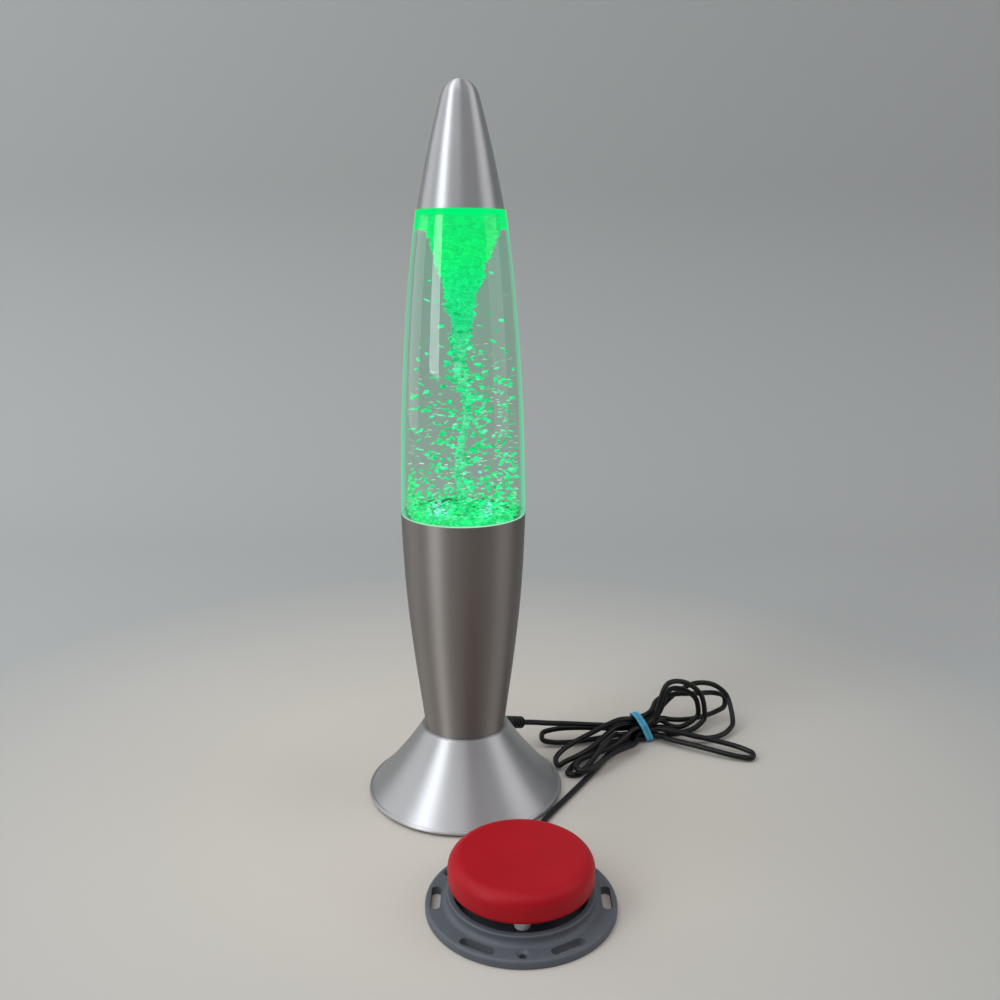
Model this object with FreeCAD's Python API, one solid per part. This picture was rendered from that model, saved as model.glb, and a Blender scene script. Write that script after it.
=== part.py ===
import FreeCAD, Part

import math
import os

from FreeCAD import Rotation, Vector

# Tornado lamp with a press switch on a cord. Millimetres, +Z up, +X to the right and +Y away from
# the front. The origin is on the lamp's axis, on the surface that the lamp stands on.

# Clearances
RUNNING = 0.05  # radial, a shaft in its bore
SLIDING = 0.3  # beside a piece that slides or lifts
SEAT = 0.25  # under a piece that is lifted off its seat
LOOSE = 0.6  # round a piece that is dropped into a housing

# Spun metal
SHEET_WALL = 0.8
CONE_WALL = 1.0
FLANGE_WALL = 1.0

# Base cone and its underside
FOOT_HEIGHT = 1.6
FOOT_INSET = 1.1  # from the plate's edge
FOOT_WIDTH = 4.0
BEAD_RADIUS = 1.0
BEAD_GAP = 1.2  # from the table to the rolled rim
CONE_RIM_RADIUS = 50.3
CONE_TOP_RADIUS = 22.3
CONE_TOP = 36.6
CONE_RIM_SLOPE = -0.98
CONE_TOP_SLOPE = -0.63
CONE_TOP_ROUND = 0.8
PLATE_THICKNESS = 2.0
PLATE_INSET = 2.7  # from the cone's rim
PLATE_BEVEL = 1.4
PLATE_SCREW_INSET = 10.1  # from the plate's edge
PLATE_SCREW_ANGLES = (-90, 30, 150)
SCREW_RADIUS = 1.4
SCREW_LENGTH = 8.0
SCREW_HEAD_RADIUS = 2.8
SCREW_HEAD_HEIGHT = 1.5
LUG_WIDTH = 8.0
LUG_HEIGHT = 7.0

# Body sleeve: radius, height and slope of the wall at three heights
GASKET_THICKNESS = 0.3
GASKET_INSET = 0.5
SLEEVE_BOTTOM = CONE_TOP + GASKET_THICKNESS
SLEEVE_TOP = 149.3
SLEEVE_WAIST_HEIGHT = 57.0
SLEEVE_BOTTOM_RADIUS = 20.3
SLEEVE_WAIST_RADIUS = 27.4
SLEEVE_TOP_RADIUS = 30.7
SLEEVE_SLOPES = (0.135, 0.102, 0.030)

# Bottle: the wall above the rim of the sleeve, the foot inside it and the neck inside the cap
BOTTLE_WALL = 1.8
BOTTLE_FLOOR = 3.0
BOTTLE_WELL_DEPTH = 30.8
BOTTLE_FOOT_RADIUS = 27.0
BOTTLE_FOOT_ROUND = 2.0
BOTTLE_RIM_RADIUS = 30.4
BOTTLE_NODES = ((28.95, 56.0, -0.050), (24.8, 112.5, -0.100))
BOTTLE_SHOULDER_RADIUS = 20.8
BOTTLE_SHOULDER_HEIGHT = 143.8
BOTTLE_SLOPES = (-0.008, -0.150)
SHOULDER_STEP = 2.6  # under the cap's rim
NECK_RADIUS = 9.0
NECK_HEIGHT = 24.6
NECK_SHOULDER_HEIGHT = 12.5
STOPPER_WALL = 1.5
STOPPER_HEIGHT = 11.5
SEAL_THICKNESS = 1.5

# Top cap: radius, height above its rim and slope of the wall, then the domed tip
CAP_RIM_RADIUS = 20.25
CAP_NODES = ((16.3, 19.5, -0.205), (11.7, 38.6, -0.262))
CAP_SLOPES = (-0.185, -0.31)
CAP_DOME_RADIUS = 8.9
CAP_HEIGHT = 56.45
LINER_HEIGHT = 5.0

# Stirrer in the foot of the bottle
PIN_RADIUS = 1.0
IMPELLER_RADIUS = 13.0
IMPELLER_DISC = 3.0
IMPELLER_HEIGHT = 8.5
IMPELLER_LIFT = 0.9
IMPELLER_HUB_RADIUS = 3.0
VANE_COUNT = 4
VANE_THICKNESS = 1.6
IMPELLER_MAGNET_RADIUS = 3.0
IMPELLER_MAGNET_THICKNESS = 2.2
MAGNET_OFFSET = 7.5
GUARD_RADIUS = 17.0
GUARD_WALL = 1.4
GUARD_HEIGHT = 14.0
GUARD_MOUTH_RADIUS = 6.2
GUARD_SLOTS = 8
GUARD_SLOT_WIDTH = 4.0
BED_RADIUS_GAP = 0.5
BED_HEIGHT = 16.0

# Vortex of glitter: share of its height, share of its mouth's radius, and the offset of its middle
VORTEX_FOOT = 12.4  # above the bottle's foot
VORTEX_TOP_GAP = 2.85  # below the bottle's shoulder
VORTEX_WALL_GAP = 1.0
VORTEX_RINGS = (
    (0.0, 0.106, 0.0, 0.0),
    (0.085, 0.072, 0.3, 0.6),
    (0.173, 0.078, -1.0, 0.9),
    (0.274, 0.083, -1.7, -0.3),
    (0.375, 0.083, 0.6, -1.1),
    (0.463, 0.089, 2.1, -0.2),
    (0.551, 0.094, -0.3, 0.9),
    (0.620, 0.128, -0.5, 0.2),
    (0.670, 0.222, 0.2, 0.0),
    (0.749, 0.389, -0.2, 0.0),
    (0.849, 0.644, -0.9, 0.0),
    (0.909, 0.833, -0.6, 0.0),
    (0.959, 0.994, 0.0, 0.0),
    (1.0, 1.0, 0.0, 0.0),
)
WHIRL_SHAFT_RADIUS = 5.6
WHIRL_CLEARANCE = 1.3
WATER_AIR = 10.35  # between the water and the bottle's shoulder
WATER_LIFT = 0.2  # above the bed of glitter
WATER_GAP = 0.1

# Drive under the bottle
SEAT_RING_THICKNESS = 1.0
SEAT_RING_RADII = (20.0, 25.8)
WINDOW_THICKNESS = 1.5
CUP_RADIUS = 26.0
CUP_WALL = 1.6
CUP_DEPTH = 16.0
SHELF_THICKNESS = 2.0
LEDGE_WIDTH = 3.0
LEDGE_THICKNESS = 1.6
LEDGE_DROP = 8.6  # from the cup's rim to the ledge under the light board
FRAME_FOOT_RADIUS = 17.5
FRAME_FOOT_THICKNESS = 2.0
POST_RADIUS = 2.2
POST_CIRCLE = 14.2
POST_ANGLES = (90, 210, 330)
MOTOR_RADIUS = 10.0
MOTOR_FLATS = 15.2
MOTOR_LENGTH = 25.0
MOTOR_BOSS_RADIUS = 3.0
MOTOR_BOSS_HEIGHT = 1.6
MOTOR_CAP_HEIGHT = 2.0
MOTOR_TAB = 2.4
MOTOR_TAB_AT = 6.0
MOTOR_SCREW_RADIUS = 1.0
MOTOR_SCREW_DEPTH = 2.2
MOTOR_SCREW_HEAD = (1.9, 1.2)
MOTOR_SCREW_SPACING = 16.0
SHAFT_RADIUS = 1.0
SHAFT_TAIL = 3.0
CARRIER_RADIUS = 12.0
CARRIER_THICKNESS = 4.5
CARRIER_GAP = 8.6  # from the shelf to the magnet carrier
DRIVE_MAGNET_RADIUS = 3.5
DRIVE_MAGNET_THICKNESS = 3.0
LIGHT_BOARD_THICKNESS = 1.4
LIGHT_BOARD_BORE = 14.0
LIGHT_LEADS_AT = (0.0, -19.0)
LEAD_HOLE_RADIUS = 2.0
LED_RADIUS = 2.0
LED_HEIGHT = 4.6
LED_CIRCLE = 19.0
LED_COUNT = 6

# Threaded tube that clamps the sleeve to the cone
TUBE_RADIUS = 5.0
TUBE_BORE = 3.2
TUBE_DROP = 7.0  # below the cone's top
TUBE_PROUD = 1.5  # above the upper nut
NUT_FLATS = 13.0
NUT_HEIGHT = 3.0
WASHER_RADIUS = 8.5
WASHER_THICKNESS = 0.8

# Cells, tray and boards in the cone
CELL_RADIUS = 7.25
CELL_LENGTH = 50.5
CELL_NUB_RADIUS = 2.75
CELL_NUB_LENGTH = 1.2
CELL_PITCH = 15.2
CELL_COUNT = 3
CELL_LIFT = 1.2  # from the plate to the cells
CELL_SPRING_LENGTH = 5.1
CELL_SPRING_RADIUS = 2.6
CELL_SPRING_WIRE = 0.35
CELL_SPRING_TURNS = 3
CONTACT_SIDE = 9.0
CONTACT_THICKNESS = 0.4
TRAY_WALL = 1.5
TRAY_ROOF_GAP = 0.6
DOOR_THICKNESS = 1.8
DOOR_PIN_RADIUS = 0.6
DOOR_PIN_LENGTH = 1.5
DOOR_THUMB_RADIUS = 9.0
DOOR_THUMB_INSET = 8.0
DOOR_THUMB_WIDTH = 16.0
DOOR_THUMB_DEPTH = 0.8
BOARD_LENGTH = 34.0
BOARD_WIDTH = 20.0
BOARD_THICKNESS = 1.6
BOARD_LIFT = 1.0
POWER_SWITCH_INSET = 11.6  # from the plate's edge
POWER_SWITCH_SIZE = (6.0, 12.0, 5.0)
POWER_KNOB_SIZE = (3.0, 3.2)
POWER_TRAVEL = 4.0
POWER_LEG = 2.5
POWER_KNOB_LOW = 0.6

# Cord
CORD_RADIUS = 1.5
WIRE_RADIUS = 0.55
CORD_WIRE_ENDS = ((14.5, 4.0), (10.5, 8.0))
POWER_WIRE_ENDS = ((-15.0, -4.0), (-13.0, 0.0))
MOTOR_WIRE_END = 4.0
LIGHT_WIRE_END = (1.5, -6.5)
WIRE_BEND = 2.2  # height of the bends above the control board
TUBE_WIRES = ((1.4, 0.0), (0.8, -1.9))  # motor's and light's, across the threaded tube
RELIEF_ANGLE = 45.0  # round the lamp's axis, from +X towards +Y
RELIEF_DROOP = 20.0
RELIEF_HEIGHT = 28.0
RELIEF_START = 25.5  # from the lamp's axis
RELIEF_LENGTH = 17.6
RELIEF_RADIUS = 3.3
RELIEF_NECK_RADIUS = 2.8
RELIEF_COLLAR = 9.6
RELIEF_RIBS = 4
RELIEF_RIB_PITCH = 2.3
RELIEF_GROOVE_DEPTH = 0.9

# Where the cord is drawn in: a bundle of strands in columns (front to back) and rows (upwards)
TIE_CENTRE = (100.0, 53.5, 8.6)
TIE_TURN = 22.0
TIE_TILT = 5.0
BAND_SLANT = 20.0
BAND_WIDTH = 4.0
BAND_THICKNESS = 1.0
BAND_CLEARANCE = 0.4
BAND_GROOVE = 0.5
BAND_SHIFT = -0.8  # along the strands, away from the sharpest bends
STRAND_PITCH = 3.75
STRAND_REACH = 6.5
STRAND_END = 3.0
STRAND_STRAIGHT = 2.4
STRAND_SLOTS = ((2, 2), (2, 0), (2, 1), (1, 3), (1, 2), (1, 1), (1, 0), (0, 2), (0, 1), (0, 0))

# Loops of the cord, to the right and the left by turns. Each has its tip, how far its outgoing and its
# returning side bulge from the line between the tie and the tip, and how far along they bulge most
LOOPS = (
    ((157.0, 76.0, 6.5), (0, 7, 18), (2, -22, -4), 0.62),
    ((40.0, 45.5, 5.5), (0, -4, -3), (0, 3, 3), 0.7),
    ((156.0, 84.0, 9.0), (0, -2, -6), (0, 3, 10), 0.42),
    ((47.5, 15.5, 1.7), (-4, 6, 3), (3, -3, 0), 0.7),
    ((136.5, 67.0, 12.0), (-4, 2, 17), (0, 1, -8), 0.45),
    ((55.5, 7.2, 1.8), (-7, 3, 0), (2, -2, 0), 0.65),
    ((140.0, 66.0, 12.0), (0, -3, -10), (-5, 0, 24), 0.42),
    ((60.5, 5.2, 4.5), (-6, 2, 0), (3, -3, 1), 0.7),
    ((160.5, 27.5, 1.9), (2, 5, 1), (-2, -5, 0), 0.7),
)
LOOP_STATIONS = (0.13, 0.32, 0.54, 0.76, 0.9, 0.965)
STRAND_CLEARANCE = 3.72  # between centre lines
CORD_FLOOR = 1.65
CORD_CONE_CLEARANCE = 52.3
SETTLE_ROUNDS = 150

# Free stretches of the cord, from the strain relief to the tie and from the tie to the switch
LAMP_LEAD = (
    (35.5, 34.7, 19.7),
    (45.0, 40.0, 16.4),
    (57.8, 44.5, 13.9),
    (72.4, 48.5, 11.2),
    (84.0, 51.3, 9.5),
)
SWITCH_LEAD = (
    (90.0, 44.4, 1.65),
    (83.0, 38.5, 1.6),
    (77.2, 29.5, 1.6),
    (72.6, 20.0, 1.6),
    (67.5, 10.3, 1.6),
    (62.0, 1.0, 1.6),
    (56.9, -7.5, 1.6),
    (52.0, -15.6, 1.6),
    (47.3, -23.4, 1.6),
    (40.5, -35.0, 1.6),
    (35.4, -47.0, 1.6),
)

# Press switch, round its own axis
SWITCH_X = 27.2
SWITCH_Y = -101.8
FLANGE_RADIUS = 41.4
FLANGE_THICKNESS = 3.8
FLANGE_ROUND = 1.4
RING_RADIUS = 32.0
RING_TOP = 8.2
RING_ROUND = 0.7
RING_FOOT_ROUND = 2.6
RECESS_RADIUS = 29.5
RECESS_FLOOR = 2.4
SLOT_LENGTH = 16.0
SLOT_WIDTH = 4.2
SLOT_CIRCLE = 36.8
SLOT_COUNT = 6
HOLE_RADIUS = 1.6
HOLE_SINK_RADIUS = 2.7
HOLE_ANGLES = (-90, 30, 150)
DISC_RADIUS = 31.6
DISC_BOTTOM = 12.5
DISC_TOP = 25.0
DISC_WALL = 2.6
DISC_TOP_ROUND = 5.6
DISC_BOTTOM_ROUND = 2.2
DISC_DISH = 0.5
DISC_FLAT_RADIUS = 26.0
PRESS_BOSS_RADIUS = 4.0
PRESS_BOSS_BOTTOM = 16.3
PEG_RADIUS = 3.4
PEG_CIRCLE = 23.5
PEG_BOTTOM = 6.2
PEG_ANGLES = (-90, 30, 150)
HOOK_ANGLES = (0, 57, 123, 180)
HOOK_WIDTH = 6.0
HOOK_INNER_RADIUS = 26.3
HOOK_OUTER_RADIUS = 28.1
HOOK_TOE_RADIUS = 29.2
HOOK_BOTTOM = 5.6
HOOK_TOE_HEIGHT = 0.8
HOOK_ROOT = 2.5  # from the disc's lower edge
SOCKET_WALL = 1.4
CUP_SKIRT = 3.0
CUP_SKIRT_WALL = 1.0
LIP_HEIGHT = 1.6
LIP_RADIUS = 28.4
SWITCH_CORD_ANGLE = 82.0
SWITCH_CORD_HEIGHT = 5.5
GROMMET_RADIUS = 2.2
GROMMET_COLLAR = 2.5
SPRING_CIRCLE = 18.0
SPRING_ANGLES = (90, 210, 330)
SPRING_RADIUS = 3.0
SPRING_WIRE_RADIUS = 0.4
SPRING_TURNS = 6
SPRING_SPIGOT_RADIUS = 2.2
SPRING_SPIGOT_HEIGHT = 1.6

# Snap switch under the boss of the press disc
SNAP_LENGTH = 19.8
SNAP_WIDTH = 6.4
SNAP_HEIGHT = 10.2
SNAP_BRACKET_WALL = 2.0
SNAP_BRACKET_LENGTH = 14.0
SNAP_BRACKET_HEIGHT = 6.5
SNAP_SCREW_RADIUS = 1.1
SNAP_SCREW_HEAD_RADIUS = 1.9
SNAP_SCREW_HEAD = 1.3
SNAP_SCREW_SPACING = 9.5
SNAP_SCREW_HEIGHT = 2.9
LEVER_PIVOT = (-8.0, 0.4)  # along the switch, and above it
LEVER_PIN_RADIUS = 0.5
LEVER_EYE_RADIUS = 1.0
LEVER_REACH = 15.0
LEVER_WIDTH = 4.0
LEVER_THICKNESS = 0.4
LEVER_REST = 12.9
PLUNGER_AT = -3.5
PLUNGER_RADIUS = 0.9
PLUNGER_TOP = 1.1  # above the snap switch, at rest
PLUNGER_TRAVEL = 0.95
PLUNGER_DEPTH = 3.6
TERMINAL_HEIGHTS = (2.0, 8.0)
TERMINAL_LENGTH = 3.2
TERMINAL_WIDTH = 3.2
TERMINAL_THICKNESS = 0.5


# Shapes that several pieces use


def placed(shape, x=0.0, y=0.0, z=0.0, turn=0.0):
    """A copy of a shape, turned about Z and then moved."""
    copy = shape.copy()
    copy.Placement = FreeCAD.Placement(Vector(x, y, z), Rotation(Vector(0, 0, 1), turn)).multiply(
        copy.Placement
    )
    return copy


def polar(radius, degrees):
    angle = math.radians(degrees)
    return radius * math.cos(angle), radius * math.sin(angle)


def round_copies(shape, radius, angles):
    """Copies of a shape that stands on the Z axis, set on a circle and turned with it."""
    return [placed(shape, *polar(radius, angle), turn=angle) for angle in angles]


def block(x0, x1, y0, y1, z0, z1):
    return Part.makeBox(x1 - x0, y1 - y0, z1 - z0, Vector(x0, y0, z0))


def disc(radius, low, high, bore=0.0):
    solid = Part.makeCylinder(radius, high - low, Vector(0, 0, low))
    if bore:
        solid = solid.cut(Part.makeCylinder(bore, high - low, Vector(0, 0, low)))
    return solid


def fused(shapes):
    return shapes[0].multiFuse(shapes[1:]).removeSplitter()


def tangent_arc(start, tangent, end):
    """The arc, or line, that leaves start along a unit tangent and ends at end."""
    chord = end - start
    along = Vector(chord).normalize()
    sideways = tangent - along * tangent.dot(along)
    if sideways.Length < 1e-6:
        return Part.LineSegment(start, end).toShape()
    half = math.atan2(sideways.Length, tangent.dot(along)) / 2
    middle = start + chord * 0.5 + sideways.normalize() * (chord.Length / 2 * math.tan(half))
    return Part.Arc(start, middle, end).toShape()


def biarc(start, start_tangent, end, end_tangent):
    """Two arcs that leave start and reach end along unit tangents, and join smoothly."""
    chord = end - start
    both = start_tangent + end_tangent
    spread = 2 * (1 - start_tangent.dot(end_tangent))
    if spread < 1e-9:
        reach = chord.Length**2 / (4 * chord.dot(end_tangent))
    else:
        lead = chord.dot(both)
        reach = (math.sqrt(lead * lead + spread * chord.Length**2) - lead) / spread
    joint = (start + end + (start_tangent - end_tangent) * reach) * 0.5
    joint_tangent = (end - end_tangent * reach - start - start_tangent * reach).normalize()
    return [
        tangent_arc(start, start_tangent, joint),
        tangent_arc(joint, joint_tangent, end),
    ]


def wall_run(nodes, inset):
    """The edges of a smooth turned wall through (radius, height, slope) nodes, moved inwards."""
    walls = []
    for radius, height, slope in nodes:
        length = math.hypot(1, slope)
        point = Vector(radius - inset / length, 0, height + inset * slope / length)
        walls.append((point, Vector(slope, 0, 1) * (1 / length)))
    edges = []
    for (start, start_tangent), (end, end_tangent) in zip(walls, walls[1:]):
        edges += biarc(start, start_tangent, end, end_tangent)
    first, first_tangent = walls[0]
    last, last_tangent = walls[-1]
    spare = 4 * BOTTLE_WALL
    bottom = first - first_tangent * spare
    edges = [Part.makeLine(bottom, first)] + edges
    return bottom, edges, last, last_tangent * spare


def revolved(bottom, edges, top):
    """The solid inside a run of edges from bottom to top, turned round the axis."""
    loop = list(edges)
    if top.x > 0:
        loop.append(Part.makeLine(top, Vector(0, 0, top.z)))
    loop.append(Part.makeLine(Vector(0, 0, top.z), Vector(0, 0, bottom.z)))
    loop.append(Part.makeLine(Vector(0, 0, bottom.z), bottom))
    return Part.Face(Part.Wire(loop)).revolve(Vector(), Vector(0, 0, 1), 360)


def spun(nodes, low, high, inset=0.0):
    """A turned solid from low to high with a smooth wall, moved inwards."""
    bottom, edges, last, spare = wall_run(nodes, inset)
    top = last + spare
    whole = revolved(bottom, edges + [Part.makeLine(last, top)], top)
    widest = max(radius for radius, _, _ in nodes) * 2
    return whole.common(disc(widest, low, high))


def turned(corners):
    """A turned solid with straight (radius, height) sides."""
    wire = Part.makePolygon([Vector(r, 0, z) for r, z in corners + corners[:1]])
    return Part.Face(wire).revolve(Vector(), Vector(0, 0, 1), 360)


def rounded_disc(radius, low, high, low_round, high_round):
    """A disc with rounded rims, made as one turned solid."""
    diagonal = math.sqrt(0.5)
    edges = []
    here = Vector(0, 0, low)
    if low_round:
        corner = Vector(radius - low_round, 0, low + low_round)
        there = Vector(corner.x, 0, low)
        edges.append(Part.makeLine(here, there))
        middle = corner + Vector(diagonal, 0, -diagonal) * low_round
        here = Vector(radius, 0, corner.z)
        edges.append(Part.Arc(there, middle, here).toShape())
    else:
        there = Vector(radius, 0, low)
        edges.append(Part.makeLine(here, there))
        here = there
    if high_round:
        corner = Vector(radius - high_round, 0, high - high_round)
        there = Vector(radius, 0, corner.z)
        edges.append(Part.makeLine(here, there))
        middle = corner + Vector(diagonal, 0, diagonal) * high_round
        here = Vector(corner.x, 0, high)
        edges.append(Part.Arc(there, middle, here).toShape())
    else:
        there = Vector(radius, 0, high)
        edges.append(Part.makeLine(here, there))
        here = there
    edges.append(Part.makeLine(here, Vector(0, 0, high)))
    edges.append(Part.makeLine(Vector(0, 0, high), Vector(0, 0, low)))
    return Part.Face(Part.Wire(edges)).revolve(Vector(), Vector(0, 0, 1), 360)


def hexagon(flats, low, high, bore):
    corner = flats / math.sqrt(3)
    points = [Vector(*polar(corner, 60 * i), low) for i in range(7)]
    prism = Part.Face(Part.makePolygon(points)).extrude(Vector(0, 0, high - low))
    return prism.cut(disc(bore, low, high))


def screw(radius, length, head_radius, head_height):
    """A countersunk screw that points up from z=0, with a slot across its head."""
    head = turned([(0, 0), (head_radius, 0), (radius, head_height), (0, head_height)])
    body = fused([head, disc(radius, head_height / 2, length)])
    slot_half = radius / 4
    return body.cut(block(-2 * radius, 2 * radius, -slot_half, slot_half, 0, head_height / 3))


def pan_screw(radius, length, head_radius, head_height):
    """A pan-head screw that points down, with the underside of its head at z=0."""
    head = rounded_disc(head_radius, 0, head_height, 0, head_height / 2)
    body = fused([head, disc(radius, -length, head_height / 2)])
    half_length, half_width = head_radius / 1.5, radius / 4
    slot = block(-half_length, half_length, -half_width, half_width, head_height * 0.6, head_height)
    return body.cut(slot)


def route_edges(points):
    """Straight runs with tangent arcs, each as large as its two runs allow. Returns edges and radii."""
    edges = []
    radii = []
    here = points[0]
    for before, corner, after in zip(points, points[1:], points[2:]):
        back = (before - corner).normalize()
        ahead = (after - corner).normalize()
        turn = math.pi - back.getAngle(ahead)
        cut = 0.45 * min((corner - before).Length, (after - corner).Length)
        radius = cut / math.tan(turn / 2)
        radii.append(radius)
        start = corner + back * cut
        end = corner + ahead * cut
        edges.append(Part.makeLine(here, start))
        edges.append(tangent_arc(start, back * -1, end))
        here = end
    edges.append(Part.makeLine(here, points[-1]))
    return edges, radii


def tube(edges, radius):
    """A round tube along edges that join smoothly."""
    path = Part.Wire(edges)
    start = path.Vertexes[0].Point
    first = edges[0]
    if first.valueAt(first.FirstParameter).distanceToPoint(start) < 1e-6:
        direction = first.tangentAt(first.FirstParameter)
    else:
        direction = first.tangentAt(first.LastParameter)
    section = Part.Wire([Part.Circle(start, direction, radius).toShape()])
    shell = Part.BRepOffsetAPI.MakePipeShell(path)
    shell.add(section)
    shell.build()
    shell.makeSolid()
    return shell.shape()


def wire_tube(points, radius):
    edges, _ = route_edges([Vector(*p) for p in points])
    return tube(edges, radius)


def coil_spring(radius, wire, low, high, turns):
    """A helical spring on the Z axis, its ends at low and high."""
    pitch = (high - low - 2 * wire) / turns
    helix = Part.makeHelix(pitch, high - low - 2 * wire, radius)
    helix.translate(Vector(0, 0, low + wire))
    path = Part.Wire(helix.Edges)
    section = Part.Wire([Part.Circle(Vector(radius, 0, low + wire), Vector(0, 1, 0), wire).toShape()])
    shell = Part.BRepOffsetAPI.MakePipeShell(path)
    shell.setFrenetMode(True)
    shell.add(section)
    shell.build()
    shell.makeSolid()
    return shell.shape()


# Places that follow from the sizes above

PLATE_TOP = FOOT_HEIGHT + PLATE_THICKNESS
PLATE_RADIUS = CONE_RIM_RADIUS - PLATE_INSET
FOOT_OUTER_RADIUS = PLATE_RADIUS - FOOT_INSET
PLATE_SCREW_CIRCLE = PLATE_RADIUS - PLATE_SCREW_INSET
POWER_SWITCH_AT = POWER_SWITCH_INSET - PLATE_RADIUS
TUBE_BOTTOM = CONE_TOP - TUBE_DROP
BOTTLE_FOOT = SLEEVE_TOP + SEAT - BOTTLE_WELL_DEPTH
BOTTLE_RIM = SLEEVE_TOP + SEAT
BOTTLE_SHOULDER = SLEEVE_TOP + BOTTLE_SHOULDER_HEIGHT
CAP_RIM = BOTTLE_SHOULDER + SEAT
CAP_TOP = CAP_RIM + CAP_HEIGHT
FLOOR_TOP = BOTTLE_FOOT + BOTTLE_FLOOR
NECK_TOP = BOTTLE_SHOULDER + NECK_HEIGHT
SEAT_RING_BOTTOM = BOTTLE_FOOT - SEAT - SEAT_RING_THICKNESS
CUP_RIM = SEAT_RING_BOTTOM - WINDOW_THICKNESS
SHELF_BOTTOM = CUP_RIM - CUP_DEPTH
SHELF_TOP = SHELF_BOTTOM + SHELF_THICKNESS
LEDGE_TOP = CUP_RIM - LEDGE_DROP
SLEEVE_FLANGE_TOP = SLEEVE_BOTTOM + FLANGE_WALL
FRAME_FOOT_TOP = SLEEVE_FLANGE_TOP + FRAME_FOOT_THICKNESS
CARRIER_BOTTOM = SHELF_TOP + CARRIER_GAP
MOTOR_BOTTOM = SHELF_BOTTOM - MOTOR_LENGTH
CELL_HEIGHT = PLATE_TOP + CELL_LIFT + CELL_RADIUS
BAY_HALF_X = CELL_PITCH * (CELL_COUNT - 1) / 2 + CELL_RADIUS + TRAY_ROOF_GAP
BAY_HALF_Y = (CELL_LENGTH + CELL_SPRING_LENGTH) / 2 + CONTACT_THICKNESS
BAY_ROOF = CELL_HEIGHT + CELL_RADIUS + TRAY_ROOF_GAP
TRAY_TOP = BAY_ROOF + TRAY_WALL
BOARD_BOTTOM = TRAY_TOP + BOARD_LIFT
BOARD_TOP = BOARD_BOTTOM + BOARD_THICKNESS
CELL_XS = [CELL_PITCH * (i - (CELL_COUNT - 1) / 2) for i in range(CELL_COUNT)]
DOOR_HINGE_Y = -(BAY_HALF_Y - SLIDING - DOOR_THICKNESS / 2)
DOOR_HINGE_Z = FOOT_HEIGHT + DOOR_THICKNESS / 2
MOTOR_SCREW_XS = (-MOTOR_SCREW_SPACING / 2, MOTOR_SCREW_SPACING / 2)
SNAP_SCREW_XS = (-SNAP_SCREW_SPACING / 2, SNAP_SCREW_SPACING / 2)
SNAP_TOP = RECESS_FLOOR + SNAP_HEIGHT
LEVER_AXIS = (LEVER_PIVOT[0], SNAP_TOP + LEVER_PIVOT[1])
DISC_CEILING = DISC_TOP - DISC_DISH - DISC_WALL

BEAD_CENTRE = BEAD_GAP + BEAD_RADIUS
CONE_WALL_NODES = (
    (CONE_RIM_RADIUS - 0.6 * BEAD_RADIUS, BEAD_CENTRE, CONE_RIM_SLOPE),
    (CONE_TOP_RADIUS, CONE_TOP, CONE_TOP_SLOPE),
)
SLEEVE_NODES = (
    (SLEEVE_BOTTOM_RADIUS, SLEEVE_BOTTOM, SLEEVE_SLOPES[0]),
    (SLEEVE_WAIST_RADIUS, SLEEVE_BOTTOM + SLEEVE_WAIST_HEIGHT, SLEEVE_SLOPES[1]),
    (SLEEVE_TOP_RADIUS, SLEEVE_TOP, SLEEVE_SLOPES[2]),
)
BOTTLE_WALL_NODES = (
    (BOTTLE_RIM_RADIUS, BOTTLE_RIM, BOTTLE_SLOPES[0]),
    *((radius, SLEEVE_TOP + height, slope) for radius, height, slope in BOTTLE_NODES),
    (BOTTLE_SHOULDER_RADIUS, BOTTLE_SHOULDER, BOTTLE_SLOPES[1]),
)
CAP_DOME_JOIN = math.atan(-CAP_SLOPES[1])
CAP_WALL_NODES = (
    (CAP_RIM_RADIUS, CAP_RIM, CAP_SLOPES[0]),
    *((radius, CAP_RIM + height, slope) for radius, height, slope in CAP_NODES),
    (
        CAP_DOME_RADIUS * math.cos(CAP_DOME_JOIN),
        CAP_TOP - CAP_DOME_RADIUS * (1 - math.sin(CAP_DOME_JOIN)),
        CAP_SLOPES[1],
    ),
)


# Lamp housing


def base_cone():
    """Spun cone with a rolled bead round its rim and a hole in its flat top for the threaded tube."""
    outer = spun(CONE_WALL_NODES, BEAD_CENTRE, CONE_TOP)
    rim_edges = [edge for edge in outer.Edges if abs(edge.BoundBox.ZMin - CONE_TOP) < 0.01]
    outer = outer.makeFillet(CONE_TOP_ROUND, rim_edges)
    void = spun(CONE_WALL_NODES, 0, CONE_TOP - FLANGE_WALL, CONE_WALL)
    bead = Part.makeTorus(CONE_RIM_RADIUS - BEAD_RADIUS, BEAD_RADIUS, Vector(0, 0, BEAD_CENTRE))
    shell = fused([outer.cut(void), bead])
    shell = shell.cut(disc(TUBE_RADIUS + RUNNING, 0, CONE_TOP + 1))
    return shell.cut(relief_bore())


def foot_ring():
    return disc(FOOT_OUTER_RADIUS, 0, FOOT_HEIGHT, FOOT_OUTER_RADIUS - FOOT_WIDTH)


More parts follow.
